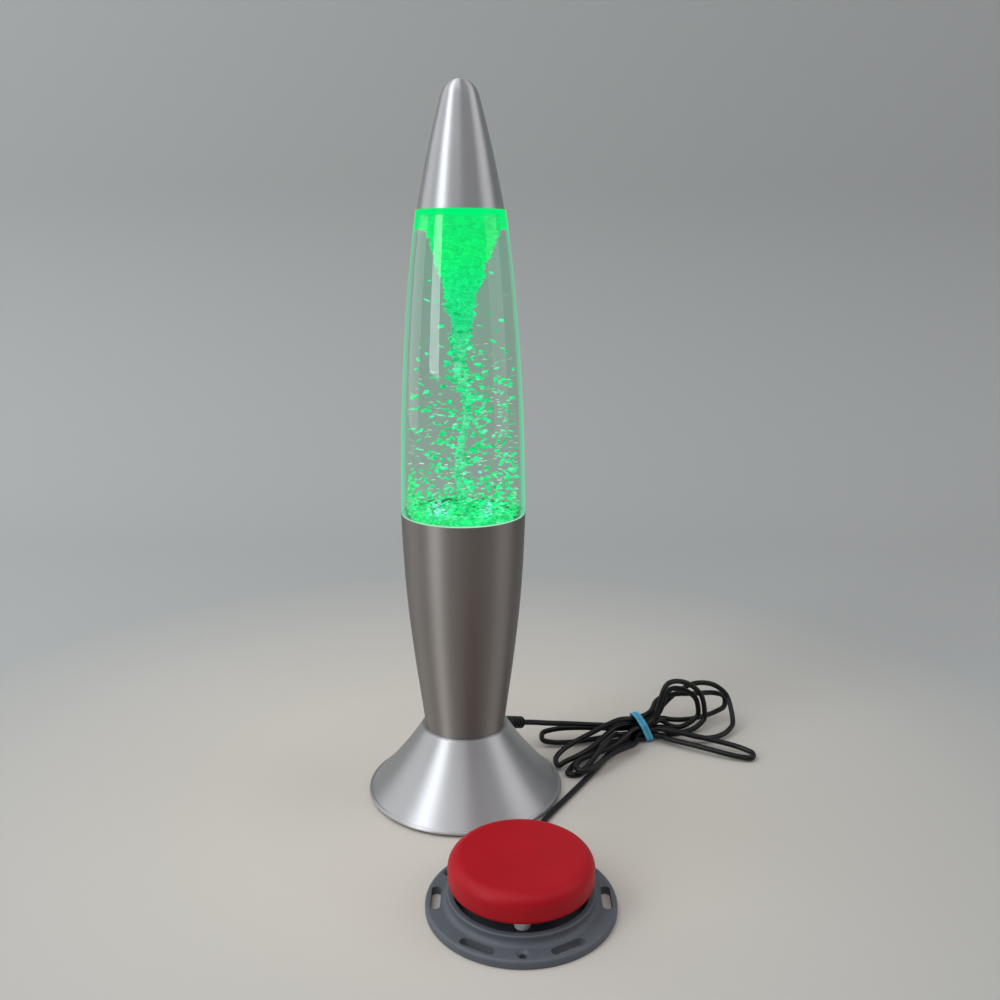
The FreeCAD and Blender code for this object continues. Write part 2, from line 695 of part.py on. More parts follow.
def base_plate():
    """Bevelled disc with the battery doorway, the screw holes and the power switch's slot."""
    plate = turned([
        (0, FOOT_HEIGHT),
        (PLATE_RADIUS, FOOT_HEIGHT),
        (PLATE_RADIUS - PLATE_BEVEL, PLATE_TOP),
        (0, PLATE_TOP),
    ])
    cuts = [block(-BAY_HALF_X, BAY_HALF_X, -BAY_HALF_Y, BAY_HALF_Y, 0, PLATE_TOP + 1)]
    hole = fused([
        disc(SCREW_RADIUS + RUNNING, 0, PLATE_TOP + 1),
        turned([
            (0, FOOT_HEIGHT),
            (SCREW_HEAD_RADIUS + RUNNING, FOOT_HEIGHT),
            (SCREW_RADIUS + RUNNING, FOOT_HEIGHT + SCREW_HEAD_HEIGHT),
            (0, FOOT_HEIGHT + SCREW_HEAD_HEIGHT),
        ]),
    ])
    cuts += round_copies(hole, PLATE_SCREW_CIRCLE, PLATE_SCREW_ANGLES)
    knob_x, knob_y = POWER_KNOB_SIZE
    cuts.append(
        block(
            POWER_SWITCH_AT - knob_x / 2 - SLIDING,
            POWER_SWITCH_AT + knob_x / 2 + SLIDING,
            -(knob_y + POWER_TRAVEL) / 2 - SLIDING,
            (knob_y + POWER_TRAVEL) / 2 + SLIDING,
            0,
            PLATE_TOP + 1,
        )
    )
    pin_hole = Part.makeCylinder(
        DOOR_PIN_RADIUS + RUNNING,
        2 * (BAY_HALF_X + DOOR_PIN_LENGTH),
        Vector(-BAY_HALF_X - DOOR_PIN_LENGTH, DOOR_HINGE_Y, DOOR_HINGE_Z),
        Vector(1, 0, 0),
    )
    return plate.cut(cuts + [pin_hole])


def battery_door():
    """Door over the cells, with a rounded edge and a stub pin at each end of it."""
    half_x = BAY_HALF_X - SLIDING
    low, high = FOOT_HEIGHT, FOOT_HEIGHT + DOOR_THICKNESS
    panel = block(-half_x, half_x, DOOR_HINGE_Y, BAY_HALF_Y - SLIDING, low, high)
    edge = Part.makeCylinder(
        DOOR_THICKNESS / 2, 2 * half_x, Vector(-half_x, DOOR_HINGE_Y, DOOR_HINGE_Z), Vector(1, 0, 0)
    )
    reach = BAY_HALF_X + DOOR_PIN_LENGTH - SLIDING
    pin = Part.makeCylinder(
        DOOR_PIN_RADIUS, 2 * reach, Vector(-reach, DOOR_HINGE_Y, DOOR_HINGE_Z), Vector(1, 0, 0)
    )
    dip = Vector(-half_x, BAY_HALF_Y - DOOR_THUMB_INSET, low + DOOR_THUMB_DEPTH - DOOR_THUMB_RADIUS)
    thumb = Part.makeCylinder(DOOR_THUMB_RADIUS, 2 * half_x, dip, Vector(1, 0, 0))
    half_width = DOOR_THUMB_WIDTH / 2
    thumb = thumb.common(block(-half_width, half_width, 0, BAY_HALF_Y, 0, high))
    return fused([panel, edge, pin]).cut(thumb)


def base_lugs():
    """Blocks glued inside the cone, into which the base plate is screwed."""
    lug = block(
        -LUG_WIDTH / 2,
        PLATE_RADIUS,
        -LUG_WIDTH / 2,
        LUG_WIDTH / 2,
        PLATE_TOP,
        PLATE_TOP + LUG_HEIGHT,
    )
    lug = lug.cut(disc(SCREW_RADIUS, 0, FOOT_HEIGHT + SCREW_LENGTH + RUNNING))
    room = spun(CONE_WALL_NODES, 0, CONE_TOP, CONE_WALL + RUNNING)
    return [copy.common(room) for copy in round_copies(lug, PLATE_SCREW_CIRCLE, PLATE_SCREW_ANGLES)]


def plate_screws():
    body = screw(SCREW_RADIUS, SCREW_LENGTH, SCREW_HEAD_RADIUS, SCREW_HEAD_HEIGHT)
    body = placed(body, z=FOOT_HEIGHT)
    return round_copies(body, PLATE_SCREW_CIRCLE, PLATE_SCREW_ANGLES)


def neck_gasket():
    return disc(
        SLEEVE_BOTTOM_RADIUS - GASKET_INSET, CONE_TOP, SLEEVE_BOTTOM, TUBE_RADIUS + RUNNING
    )


def body_sleeve():
    """Spun sleeve with a flange across its foot and an open top for the bottle."""
    outer = spun(SLEEVE_NODES, SLEEVE_BOTTOM, SLEEVE_TOP)
    void = spun(SLEEVE_NODES, SLEEVE_FLANGE_TOP, SLEEVE_TOP + 1, SHEET_WALL)
    return outer.cut(void).cut(disc(TUBE_RADIUS + RUNNING, 0, SLEEVE_FLANGE_TOP + 1))


def neck_tube():
    """Threaded tube through the cone and the sleeve, with the wires inside."""
    return disc(TUBE_RADIUS, TUBE_BOTTOM, FRAME_FOOT_TOP + NUT_HEIGHT + TUBE_PROUD, TUBE_BORE)


def neck_nuts():
    washer_top = CONE_TOP - FLANGE_WALL
    nut_top = washer_top - WASHER_THICKNESS
    return [
        hexagon(NUT_FLATS, nut_top - NUT_HEIGHT, nut_top, TUBE_RADIUS),
        hexagon(NUT_FLATS, FRAME_FOOT_TOP, FRAME_FOOT_TOP + NUT_HEIGHT, TUBE_RADIUS),
        disc(WASHER_RADIUS, nut_top, washer_top, TUBE_RADIUS + RUNNING),
    ]


# Drive and light under the bottle


def motor_frame():
    """Moulding that stands in the sleeve: foot, posts, motor shelf and a cup for the light board."""
    foot = disc(FRAME_FOOT_RADIUS, SLEEVE_FLANGE_TOP, FRAME_FOOT_TOP)
    post = disc(POST_RADIUS, SLEEVE_FLANGE_TOP, SHELF_TOP)
    shelf = disc(CUP_RADIUS, SHELF_BOTTOM, SHELF_TOP)
    cup_bore = CUP_RADIUS - CUP_WALL
    wall = disc(CUP_RADIUS, SHELF_BOTTOM, CUP_RIM, cup_bore)
    ledge = disc(CUP_RADIUS, LEDGE_TOP - LEDGE_THICKNESS, LEDGE_TOP, cup_bore - LEDGE_WIDTH)
    body = fused([foot, shelf, wall, ledge] + round_copies(post, POST_CIRCLE, POST_ANGLES))
    cuts = [
        disc(TUBE_RADIUS + RUNNING, 0, FRAME_FOOT_TOP + 1),
        disc(MOTOR_BOSS_RADIUS + RUNNING, SHELF_BOTTOM - 1, SHELF_TOP + 1),
    ]
    for x in MOTOR_SCREW_XS:
        cuts.append(placed(disc(MOTOR_SCREW_RADIUS + RUNNING, SHELF_BOTTOM - 1, SHELF_TOP + 1), x))
    cuts.append(placed(disc(LEAD_HOLE_RADIUS, SHELF_BOTTOM - 1, SHELF_TOP + 1), *LIGHT_LEADS_AT))
    return body.cut(cuts)


def motor():
    """Small direct-current motor: a flat-sided can with a front boss, a rear cap and two tabs."""
    can = disc(MOTOR_RADIUS, MOTOR_BOTTOM + MOTOR_CAP_HEIGHT, SHELF_BOTTOM)
    cap = disc(MOTOR_RADIUS - 0.4, MOTOR_BOTTOM, MOTOR_BOTTOM + MOTOR_CAP_HEIGHT)
    body = fused([can, cap, disc(MOTOR_BOSS_RADIUS, SHELF_BOTTOM, SHELF_BOTTOM + MOTOR_BOSS_HEIGHT)])
    half = MOTOR_FLATS / 2
    body = body.common(
        block(-MOTOR_RADIUS, MOTOR_RADIUS, -half, half, MOTOR_BOTTOM, SHELF_BOTTOM + MOTOR_BOSS_HEIGHT)
    )
    tabs = [
        block(x - 1.0, x + 1.0, -0.3, 0.3, MOTOR_BOTTOM - MOTOR_TAB, MOTOR_BOTTOM + 1)
        for x in (-MOTOR_TAB_AT, MOTOR_TAB_AT)
    ]
    body = fused([body] + tabs)
    holes = [disc(SHAFT_RADIUS + RUNNING, MOTOR_BOTTOM - 1, SHELF_TOP)]
    for x in MOTOR_SCREW_XS:
        holes.append(placed(disc(MOTOR_SCREW_RADIUS, SHELF_BOTTOM - MOTOR_SCREW_DEPTH, SHELF_BOTTOM), x))
    return body.cut(holes)


def motor_screws():
    length = SHELF_THICKNESS + MOTOR_SCREW_DEPTH - LOOSE / 3
    body = pan_screw(MOTOR_SCREW_RADIUS, length, *MOTOR_SCREW_HEAD)
    return [placed(body, x, 0, SHELF_TOP) for x in MOTOR_SCREW_XS]


def motor_shaft():
    return disc(SHAFT_RADIUS, MOTOR_BOTTOM - SHAFT_TAIL, CARRIER_BOTTOM + CARRIER_THICKNESS - 0.5)


def magnet_carrier():
    """Disc pressed on the shaft, with a pocket for each drive magnet and a collar under it."""
    top = CARRIER_BOTTOM + CARRIER_THICKNESS
    body = fused([
        rounded_disc(CARRIER_RADIUS, CARRIER_BOTTOM, top, 0.6, 0.6),
        disc(3.2, CARRIER_BOTTOM - 3.0, CARRIER_BOTTOM + 1),
    ])
    body = body.cut(disc(SHAFT_RADIUS, CARRIER_BOTTOM - 4, top - 0.5))
    pocket = disc(DRIVE_MAGNET_RADIUS, top - DRIVE_MAGNET_THICKNESS, top + 1)
    return body.cut(round_copies(pocket, MAGNET_OFFSET, (0, 180)))


def drive_magnets():
    top = CARRIER_BOTTOM + CARRIER_THICKNESS
    magnet = disc(DRIVE_MAGNET_RADIUS, top - DRIVE_MAGNET_THICKNESS, top)
    return round_copies(magnet, MAGNET_OFFSET, (0, 180))


def light_board():
    outer = CUP_RADIUS - CUP_WALL - RUNNING
    return disc(outer, LEDGE_TOP, LEDGE_TOP + LIGHT_BOARD_THICKNESS, LIGHT_BOARD_BORE)


def leds():
    """Domed light emitting diodes on the light board."""
    bottom = LEDGE_TOP + LIGHT_BOARD_THICKNESS
    flange = disc(LED_RADIUS + 0.4, bottom, bottom + 0.8)
    body = rounded_disc(LED_RADIUS, bottom, bottom + LED_HEIGHT, 0, LED_RADIUS * 0.95)
    angles = [360 / LED_COUNT * i + 30 for i in range(LED_COUNT)]
    return round_copies(fused([flange, body]), LED_CIRCLE, angles)


def light_window():
    return disc(CUP_RADIUS, CUP_RIM, CUP_RIM + WINDOW_THICKNESS)


def seat_ring():
    inner, outer = SEAT_RING_RADII
    return disc(outer, SEAT_RING_BOTTOM, SEAT_RING_BOTTOM + SEAT_RING_THICKNESS, inner)


# Bottle and what it holds


def bottle_void(inset=0.0):
    """The room inside the bottle, up to its shoulder, made smaller by inset."""
    floor = FLOOR_TOP + inset
    wall = BOTTLE_WALL + inset
    foot = well_nodes()
    low = spun(foot, floor, BOTTLE_RIM + 2, wall)
    high = spun(BOTTLE_WALL_NODES, BOTTLE_RIM, BOTTLE_SHOULDER - BOTTLE_WALL, wall)
    return low, high


def well_nodes():
    radius = SLEEVE_TOP_RADIUS - SHEET_WALL - LOOSE
    slope = (radius - BOTTLE_FOOT_RADIUS) / BOTTLE_WELL_DEPTH
    return ((BOTTLE_FOOT_RADIUS, BOTTLE_FOOT, slope), (radius, SLEEVE_TOP, slope))


def neck_nodes(inset):
    """Shoulder and neck inside the cap, as a wall from the step under the cap's rim to the mouth."""
    start = BOTTLE_SHOULDER_RADIUS - SHOULDER_STEP
    return (
        (start - inset, BOTTLE_SHOULDER, -0.35),
        (NECK_RADIUS + 4.2 - inset * 0.8, BOTTLE_SHOULDER + 7.0 - inset * 0.4, -1.1),
        (NECK_RADIUS - inset, BOTTLE_SHOULDER + NECK_SHOULDER_HEIGHT, -0.05),
    )


def bottle():
    """Clear bottle: a foot that stands in the sleeve, a step over its rim, the tall wall and a neck."""
    well = spun(well_nodes(), BOTTLE_FOOT, SLEEVE_TOP + SEAT + 1)
    foot_edges = [edge for edge in well.Edges if abs(edge.BoundBox.ZMax - BOTTLE_FOOT) < 0.01]
    well = well.makeFillet(BOTTLE_FOOT_ROUND, foot_edges)
    wall = spun(BOTTLE_WALL_NODES, BOTTLE_RIM, BOTTLE_SHOULDER)
    neck_top = BOTTLE_SHOULDER + NECK_SHOULDER_HEIGHT
    shoulder = spun(neck_nodes(0), BOTTLE_SHOULDER - 1, neck_top)
    neck = disc(NECK_RADIUS, neck_top - 0.2, NECK_TOP)
    outer = fused([well, wall, shoulder, neck])
    low, high = bottle_void()
    shoulder_void = spun(neck_nodes(BOTTLE_WALL), BOTTLE_SHOULDER - BOTTLE_WALL - 0.2, neck_top)
    neck_void = disc(NECK_RADIUS - BOTTLE_WALL, neck_top - 0.4, NECK_TOP + 1)
    return outer.cut(fused([low, high, shoulder_void, neck_void]))


def bottle_stopper():
    """Screwed stopper over the neck."""
    outer_radius = NECK_RADIUS + SLIDING + STOPPER_WALL
    roof = NECK_TOP + SEAL_THICKNESS
    low = roof + STOPPER_WALL - STOPPER_HEIGHT
    body = rounded_disc(outer_radius, low, roof + STOPPER_WALL, 0, 0.8)
    body = body.cut(disc(NECK_RADIUS + SLIDING, low, roof))
    groove = block(outer_radius - 0.4, outer_radius + 1, -0.4, 0.4, low + 1, roof)
    return body.cut([placed(groove, turn=angle) for angle in range(0, 360, 18)])


def stopper_seal():
    return disc(NECK_RADIUS, NECK_TOP, NECK_TOP + SEAL_THICKNESS)


def impeller_pin():
    """Steel pin on a small foot, set on the bottle's floor."""
    foot_top = FLOOR_TOP + IMPELLER_LIFT - SEAT
    tip = FLOOR_TOP + IMPELLER_LIFT + IMPELLER_HEIGHT - 0.5
    return fused([
        disc(PIN_RADIUS * 2.2, FLOOR_TOP, foot_top),
        rounded_disc(PIN_RADIUS, FLOOR_TOP, tip, 0, PIN_RADIUS * 0.6),
    ])


def impeller():
    """Stirrer: a disc with upright vanes round a hub that turns on the pin."""
    low = FLOOR_TOP + IMPELLER_LIFT
    disc_top = low + IMPELLER_DISC
    high = low + IMPELLER_HEIGHT
    plate = rounded_disc(IMPELLER_RADIUS, low, disc_top, 0.5, 0.5)
    body = [plate, disc(IMPELLER_HUB_RADIUS, low, high)]
    half = VANE_THICKNESS / 2
    vane = block(0, IMPELLER_RADIUS - 1, -half, half, disc_top - 1, high - 1.5)
    body += [placed(vane, turn=360 / VANE_COUNT * i + 45) for i in range(VANE_COUNT)]
    pocket = disc(IMPELLER_MAGNET_RADIUS, low - 1, low + IMPELLER_MAGNET_THICKNESS)
    cuts = round_copies(pocket, MAGNET_OFFSET, (0, 180))
    return fused(body).cut(cuts + [disc(PIN_RADIUS + RUNNING, low - 1, high + 1)])


def impeller_magnets():
    low = FLOOR_TOP + IMPELLER_LIFT
    magnet = disc(IMPELLER_MAGNET_RADIUS, low, low + IMPELLER_MAGNET_THICKNESS)
    return round_copies(magnet, MAGNET_OFFSET, (0, 180))


def impeller_guard():
    """Slotted dome over the stirrer, with an open mouth for the vortex."""
    low, high = FLOOR_TOP, FLOOR_TOP + GUARD_HEIGHT
    knee = high - 3.0
    slim = GUARD_RADIUS - GUARD_WALL
    dome = turned([
        (slim, low),
        (GUARD_RADIUS, low),
        (GUARD_RADIUS, knee - 2),
        (GUARD_RADIUS - 4, high),
        (GUARD_MOUTH_RADIUS, high),
        (GUARD_MOUTH_RADIUS, high - GUARD_WALL),
        (GUARD_RADIUS - 4.6, high - GUARD_WALL),
        (slim, knee - 2.4),
    ])
    slot = block(
        GUARD_MOUTH_RADIUS + 2,
        GUARD_RADIUS + 1,
        -GUARD_SLOT_WIDTH / 2,
        GUARD_SLOT_WIDTH / 2,
        low + 3,
        high + 1,
    )
    return dome.cut([placed(slot, turn=360 / GUARD_SLOTS * i) for i in range(GUARD_SLOTS)])


def glitter_bed():
    """Settled glitter heaped between the guard and the wall."""
    low, _ = bottle_void(WATER_GAP)
    inner = GUARD_RADIUS + BED_RADIUS_GAP
    heap = turned([
        (inner, FLOOR_TOP + WATER_GAP),
        (BOTTLE_FOOT_RADIUS + 2, FLOOR_TOP + WATER_GAP),
        (BOTTLE_FOOT_RADIUS + 2, FLOOR_TOP + BED_HEIGHT),
        (inner + 3, FLOOR_TOP + BED_HEIGHT - 5),
        (inner, FLOOR_TOP + BED_HEIGHT - 9),
    ])
    return heap.common(low)


def glitter_vortex():
    """Rope of glitter that winds up from the stirrer and opens into a funnel at the water's surface."""
    rings = [
        Part.Wire([Part.Circle(Vector(x, y, height), Vector(0, 0, 1), radius).toShape()])
        for height, radius, x, y in vortex_rings()
    ]
    return Part.makeLoft(rings, True, False)


def vortex_rings():
    """Height, radius and offset of each ring of the vortex, from its foot to the water's surface."""
    foot = BOTTLE_FOOT + VORTEX_FOOT
    rise = BOTTLE_SHOULDER - VORTEX_TOP_GAP - foot
    mouth = BOTTLE_SHOULDER_RADIUS - BOTTLE_WALL - VORTEX_WALL_GAP
    return [(foot + up * rise, wide * mouth, x, y) for up, wide, x, y in VORTEX_RINGS]


def whirl_room():
    """The turned room that the vortex needs, with clearance round its whole sweep."""
    corners = [(0, FLOOR_TOP), (WHIRL_SHAFT_RADIUS, FLOOR_TOP)]
    for height, radius, x, y in vortex_rings():
        sweep = math.hypot(x, y) + radius + WHIRL_CLEARANCE
        if sweep > WHIRL_SHAFT_RADIUS:
            if len(corners) == 2:
                corners.append((WHIRL_SHAFT_RADIUS, last_height))
            corners.append((sweep, height))
        last_height = height
    return turned(corners + [(0, last_height)])


def liquid():
    """Water in the bottle, with the whirl's room open through it."""
    low, high = bottle_void(WATER_GAP)
    foot = FLOOR_TOP + BED_HEIGHT + WATER_LIFT
    body = fused([low, high]).common(disc(BOTTLE_RIM_RADIUS, foot, BOTTLE_SHOULDER - WATER_AIR))
    return body.cut(whirl_room())


# Cap


def top_cap():
    """Spun bullet cap, open below, that stands on the bottle's shoulder."""
    outer = cap_form(0.0, CAP_RIM)
    return outer.cut(cap_form(SHEET_WALL, CAP_RIM - 1))


def cap_form(inset, low):
    """The flank and the round top of the cap in one turned solid, moved inwards."""
    bottom, edges, last, _ = wall_run(CAP_WALL_NODES, inset)
    radius = CAP_DOME_RADIUS - inset
    centre = Vector(0, 0, CAP_TOP - CAP_DOME_RADIUS)
    halfway = (CAP_DOME_JOIN + math.pi / 2) / 2
    middle = centre + Vector(math.cos(halfway), 0, math.sin(halfway)) * radius
    top = centre + Vector(0, 0, radius)
    whole = revolved(bottom, edges + [Part.Arc(last, middle, top).toShape()], top)
    return whole.common(disc(CAP_RIM_RADIUS * 2, low, CAP_TOP + 1))


def cap_liner():
    """Soft ring inside the cap that centres it on the stopper."""
    inner = NECK_RADIUS + SLIDING + STOPPER_WALL + SLIDING
    top = NECK_TOP + SEAL_THICKNESS + STOPPER_WALL - 1.0
    room = spun(CAP_WALL_NODES, top - LINER_HEIGHT, top, SHEET_WALL + RUNNING)
    return room.cut(disc(inner, top - LINER_HEIGHT, top))


# Power in the cone


def battery_tray():
    """Open-bottomed box over the cells, trimmed to the cone, with pegs for the control board."""
    wall_x, wall_y = BAY_HALF_X + TRAY_WALL, BAY_HALF_Y + TRAY_WALL
    outer = block(-wall_x, wall_x, -wall_y, wall_y, PLATE_TOP, TRAY_TOP)
    inner = block(-BAY_HALF_X, BAY_HALF_X, -BAY_HALF_Y, BAY_HALF_Y, PLATE_TOP - 1, BAY_ROOF)
    room = spun(CONE_WALL_NODES, 0, CONE_TOP, CONE_WALL + LOOSE)
    shell = outer.cut(inner).common(room)
    peg = disc(1.5, TRAY_TOP - 0.5, BOARD_BOTTOM)
    inset = 3.0
    pegs = [
        placed(peg, sx * (BOARD_LENGTH / 2 - inset), sy * (BOARD_WIDTH / 2 - inset))
        for sx in (-1, 1)
        for sy in (-1, 1)
    ]
    return fused([shell] + pegs).cut(relief_bore(LOOSE))


def battery_cells():
    """Cylindrical cells that lie side by side, every other one the other way round."""
    body_length = CELL_LENGTH - CELL_NUB_LENGTH
    body = Part.makeCylinder(CELL_RADIUS, body_length, Vector(0, 0, 0), Vector(0, 1, 0))
    body = body.makeFillet(0.7, body.Edges[:1] + body.Edges[2:])
    nub_start = Vector(0, body_length - 1, 0)
    nub = Part.makeCylinder(CELL_NUB_RADIUS, CELL_NUB_LENGTH + 1, nub_start, Vector(0, 1, 0))
    cell = fused([body, nub])
    plate = BAY_HALF_Y - CONTACT_THICKNESS
    cells = []
    for i, x in enumerate(CELL_XS):
        if i % 2:
            cells.append(placed(cell, x, plate - CELL_SPRING_LENGTH, CELL_HEIGHT, 180))
        else:
            cells.append(placed(cell, x, -plate + CELL_SPRING_LENGTH, CELL_HEIGHT))
    return cells


def battery_contacts():
    """Contact plates on the end walls of the tray."""
    half = CONTACT_SIDE / 2
    plate = BAY_HALF_Y - CONTACT_THICKNESS
    low, high = CELL_HEIGHT - half, CELL_HEIGHT + half
    contacts = []
    for x in CELL_XS:
        contacts.append(block(x - half, x + half, plate, BAY_HALF_Y, low, high))
        contacts.append(block(x - half, x + half, -BAY_HALF_Y, -plate, low, high))
    return contacts


def battery_springs():
    """Coil springs between the contact plates and the flat ends of the cells."""
    plate = BAY_HALF_Y - CONTACT_THICKNESS
    coil = coil_spring(CELL_SPRING_RADIUS, CELL_SPRING_WIRE, 0, CELL_SPRING_LENGTH, CELL_SPRING_TURNS)
    springs = []
    for i, x in enumerate(CELL_XS):
        spring = coil.copy()
        side = 1 if i % 2 else -1
        spring.rotate(Vector(), Vector(1, 0, 0), 90 * side)
        spring.translate(Vector(x, side * plate, CELL_HEIGHT))
        springs.append(spring)
    return springs


def control_board():
    half_x, half_y = BOARD_LENGTH / 2, BOARD_WIDTH / 2
    return block(-half_x, half_x, -half_y, half_y, BOARD_BOTTOM, BOARD_TOP)


def board_parts():
    """Transistor, capacitor and two resistors on the control board."""
    transistor = disc(2.3, BOARD_TOP, BOARD_TOP + 4.6).cut(block(-3, 3, 1.3, 3, 0, BOARD_TOP + 6))
    capacitor = rounded_disc(2.5, BOARD_TOP, BOARD_TOP + 5.0, 0.4, 0.4)
    resistor = Part.makeCylinder(1.1, 6.0, Vector(0, 0, BOARD_TOP + 1.1), Vector(1, 0, 0))
    return [
        placed(transistor, -11, -5),
        placed(capacitor, 11, -5),
        placed(resistor, -12, 2.5),
        placed(resistor, 6, 2.5),
    ]


def power_switch():
    """Body of the slide switch, on the inside of the base plate."""
    sx, sy, sz = POWER_SWITCH_SIZE
    at = POWER_SWITCH_AT
    body = block(at - sx / 2, at + sx / 2, -sy / 2, sy / 2, PLATE_TOP, PLATE_TOP + sz)
    knob_x, knob_y = POWER_KNOB_SIZE
    track = block(
        at - knob_x / 2 - SLIDING,
        at + knob_x / 2 + SLIDING,
        -(knob_y + POWER_TRAVEL) / 2 - SLIDING,
        (knob_y + POWER_TRAVEL) / 2 + SLIDING,
        PLATE_TOP - 1,
        PLATE_TOP + sz / 2,
    )
    leg = block(at - 0.3, at + 0.3, -0.5, 0.5, PLATE_TOP + sz - 1, PLATE_TOP + sz + POWER_LEG)
    legs = [placed(leg, y=y) for y in (-4, 0, 4)]
    return fused([body.cut(track)] + legs)


def power_knob():
    knob_x, knob_y = POWER_KNOB_SIZE
    _, _, sz = POWER_SWITCH_SIZE
    at, rest = POWER_SWITCH_AT, -POWER_TRAVEL / 2
    knob = block(
        at - knob_x / 2,
        at + knob_x / 2,
        rest - knob_y / 2,
        rest + knob_y / 2,
        POWER_KNOB_LOW,
        PLATE_TOP + sz / 2 - SLIDING,
    )
    return knob


# Cord and the wires inside


def relief_axis():
    """Start and direction of the strain relief, which points out of the cone and a little down."""
    angle, droop = math.radians(RELIEF_ANGLE), math.radians(RELIEF_DROOP)
    x, y = polar(RELIEF_START, RELIEF_ANGLE)
    direction = Vector(
        math.cos(angle) * math.cos(droop), math.sin(angle) * math.cos(droop), -math.sin(droop)
    )
    return Vector(x, y, RELIEF_HEIGHT), direction


def relief_bore(clearance=0.0):
    start, direction = relief_axis()
    return Part.makeCylinder(RELIEF_NECK_RADIUS + clearance, RELIEF_LENGTH, start, direction)


def cord_strain_relief():
    """Ribbed rubber sleeve through the wall of the cone, with its collar flush against the outside."""
    start, direction = relief_axis()
    ribs_start = RELIEF_LENGTH - RELIEF_RIBS * RELIEF_RIB_PITCH
    groove = RELIEF_RADIUS - RELIEF_GROOVE_DEPTH
    corners = [(0, 3), (RELIEF_RADIUS, 3)]
    for i in range(RELIEF_RIBS):
        low = ribs_start + i * RELIEF_RIB_PITCH
        high = low + RELIEF_RIB_PITCH
        corners += [(RELIEF_RADIUS, low), (groove, low + 0.3)]
        corners += [(groove, low + 0.7), (RELIEF_RADIUS, low + 1.0)]
    corners += [(RELIEF_RADIUS, high - 0.4), (RELIEF_RADIUS - 0.4, high), (0, high)]
    collar = turned(corners)
    collar.Placement = FreeCAD.Placement(start, Rotation(Vector(0, 0, 1), direction))
    cone = spun(CONE_WALL_NODES, BEAD_CENTRE, CONE_TOP)
    neck = Part.makeCylinder(RELIEF_NECK_RADIUS, RELIEF_COLLAR, start, direction)
    return fused([collar.cut(cone), neck])


def along(start, step, amount=1.0):
    return tuple(a + amount * b for a, b in zip(start, step))


def tie_axes():
    """Axis of the tie, the way across the bundle and the way up it."""
    turn, tilt = math.radians(TIE_TURN), math.radians(TIE_TILT)
    axis = (math.cos(turn) * math.cos(tilt), math.sin(turn) * math.cos(tilt), math.sin(tilt))
    across = (-math.sin(turn), math.cos(turn), 0.0)
    up = (-math.cos(turn) * math.sin(tilt), -math.sin(turn) * math.sin(tilt), math.cos(tilt))
    return axis, across, up


def strand_point(column, row, reach):
    axis, across, up = tie_axes()
    point = along(TIE_CENTRE, across, (column - 1) * STRAND_PITCH)
    point = along(point, up, (row - 1.5) * STRAND_PITCH)
    return along(point, axis, reach)


def bulge_at(station, widest):
    """Share of a loop's bulge at a station between the tie (0) and the tip (1)."""
    if station < widest:
        return math.sin(math.pi / 2 * station / widest) ** (1.0 if widest < 0.55 else 1.5)
    return math.sqrt(1 - ((station - widest) / (1 - widest)) ** 2)


def loop_side(start, mouth, tip, bulge, widest):
    points = []
    for station in LOOP_STATIONS:
        point = along(mouth, along(tip, mouth, -1), station)
        point = along(point, along(start, mouth, -1), max(0.0, 1 - 2 * station))
        points.append(along(point, bulge, bulge_at(station, widest)))
    return points


def cord_points():
    """Corners of the cord's whole route, and the places of those that hold still while it settles."""
    tip, direction = relief_tip()
    points = [tuple(tip)] + list(LAMP_LEAD)
    fixed = set(range(len(points)))
    for i, slot in enumerate(STRAND_SLOTS):
        side = 1 if i % 2 == 0 else -1
        fixed |= {len(points), len(points) + 1}
        points.append(strand_point(*slot, -side * STRAND_REACH))
        points.append(strand_point(*slot, side * STRAND_REACH))
        if i < len(LOOPS):
            tip, out, back, widest = LOOPS[i]
            start = strand_point(*slot, side * STRAND_REACH)
            end = strand_point(*STRAND_SLOTS[i + 1], side * STRAND_REACH)
            mouth = along(start, along(end, start, -1), 0.5)
            points += loop_side(start, mouth, tip, out, widest)
            points += loop_side(end, mouth, tip, back, widest)[::-1]
    fixed |= set(range(len(points), len(points) + len(SWITCH_LEAD)))
    return settled(points + list(SWITCH_LEAD), fixed)


def least_apart(a, b, c, d):
    """Least distance between segments ab and cd, and the unit way from the second to the first."""
    first, second, between = along(b, a, -1), along(d, c, -1), along(a, c, -1)
    ff = sum(x * x for x in first)
    fs = sum(x * y for x, y in zip(first, second))
    ss = sum(x * x for x in second)
    fb = sum(x * y for x, y in zip(first, between))
    sb = sum(x * y for x, y in zip(second, between))
    spread = ff * ss - fs * fs
    s = 0.5 if spread < 1e-9 else min(1.0, max(0.0, (fs * sb - ss * fb) / spread))
    t = min(1.0, max(0.0, (fs * s + sb) / ss))
    s = min(1.0, max(0.0, (fs * t - fb) / ff))
    way = along(along(between, first, s), second, -t)
    gap = math.hypot(*way)
    return gap, tuple(x / max(gap, 1e-6) for x in way)


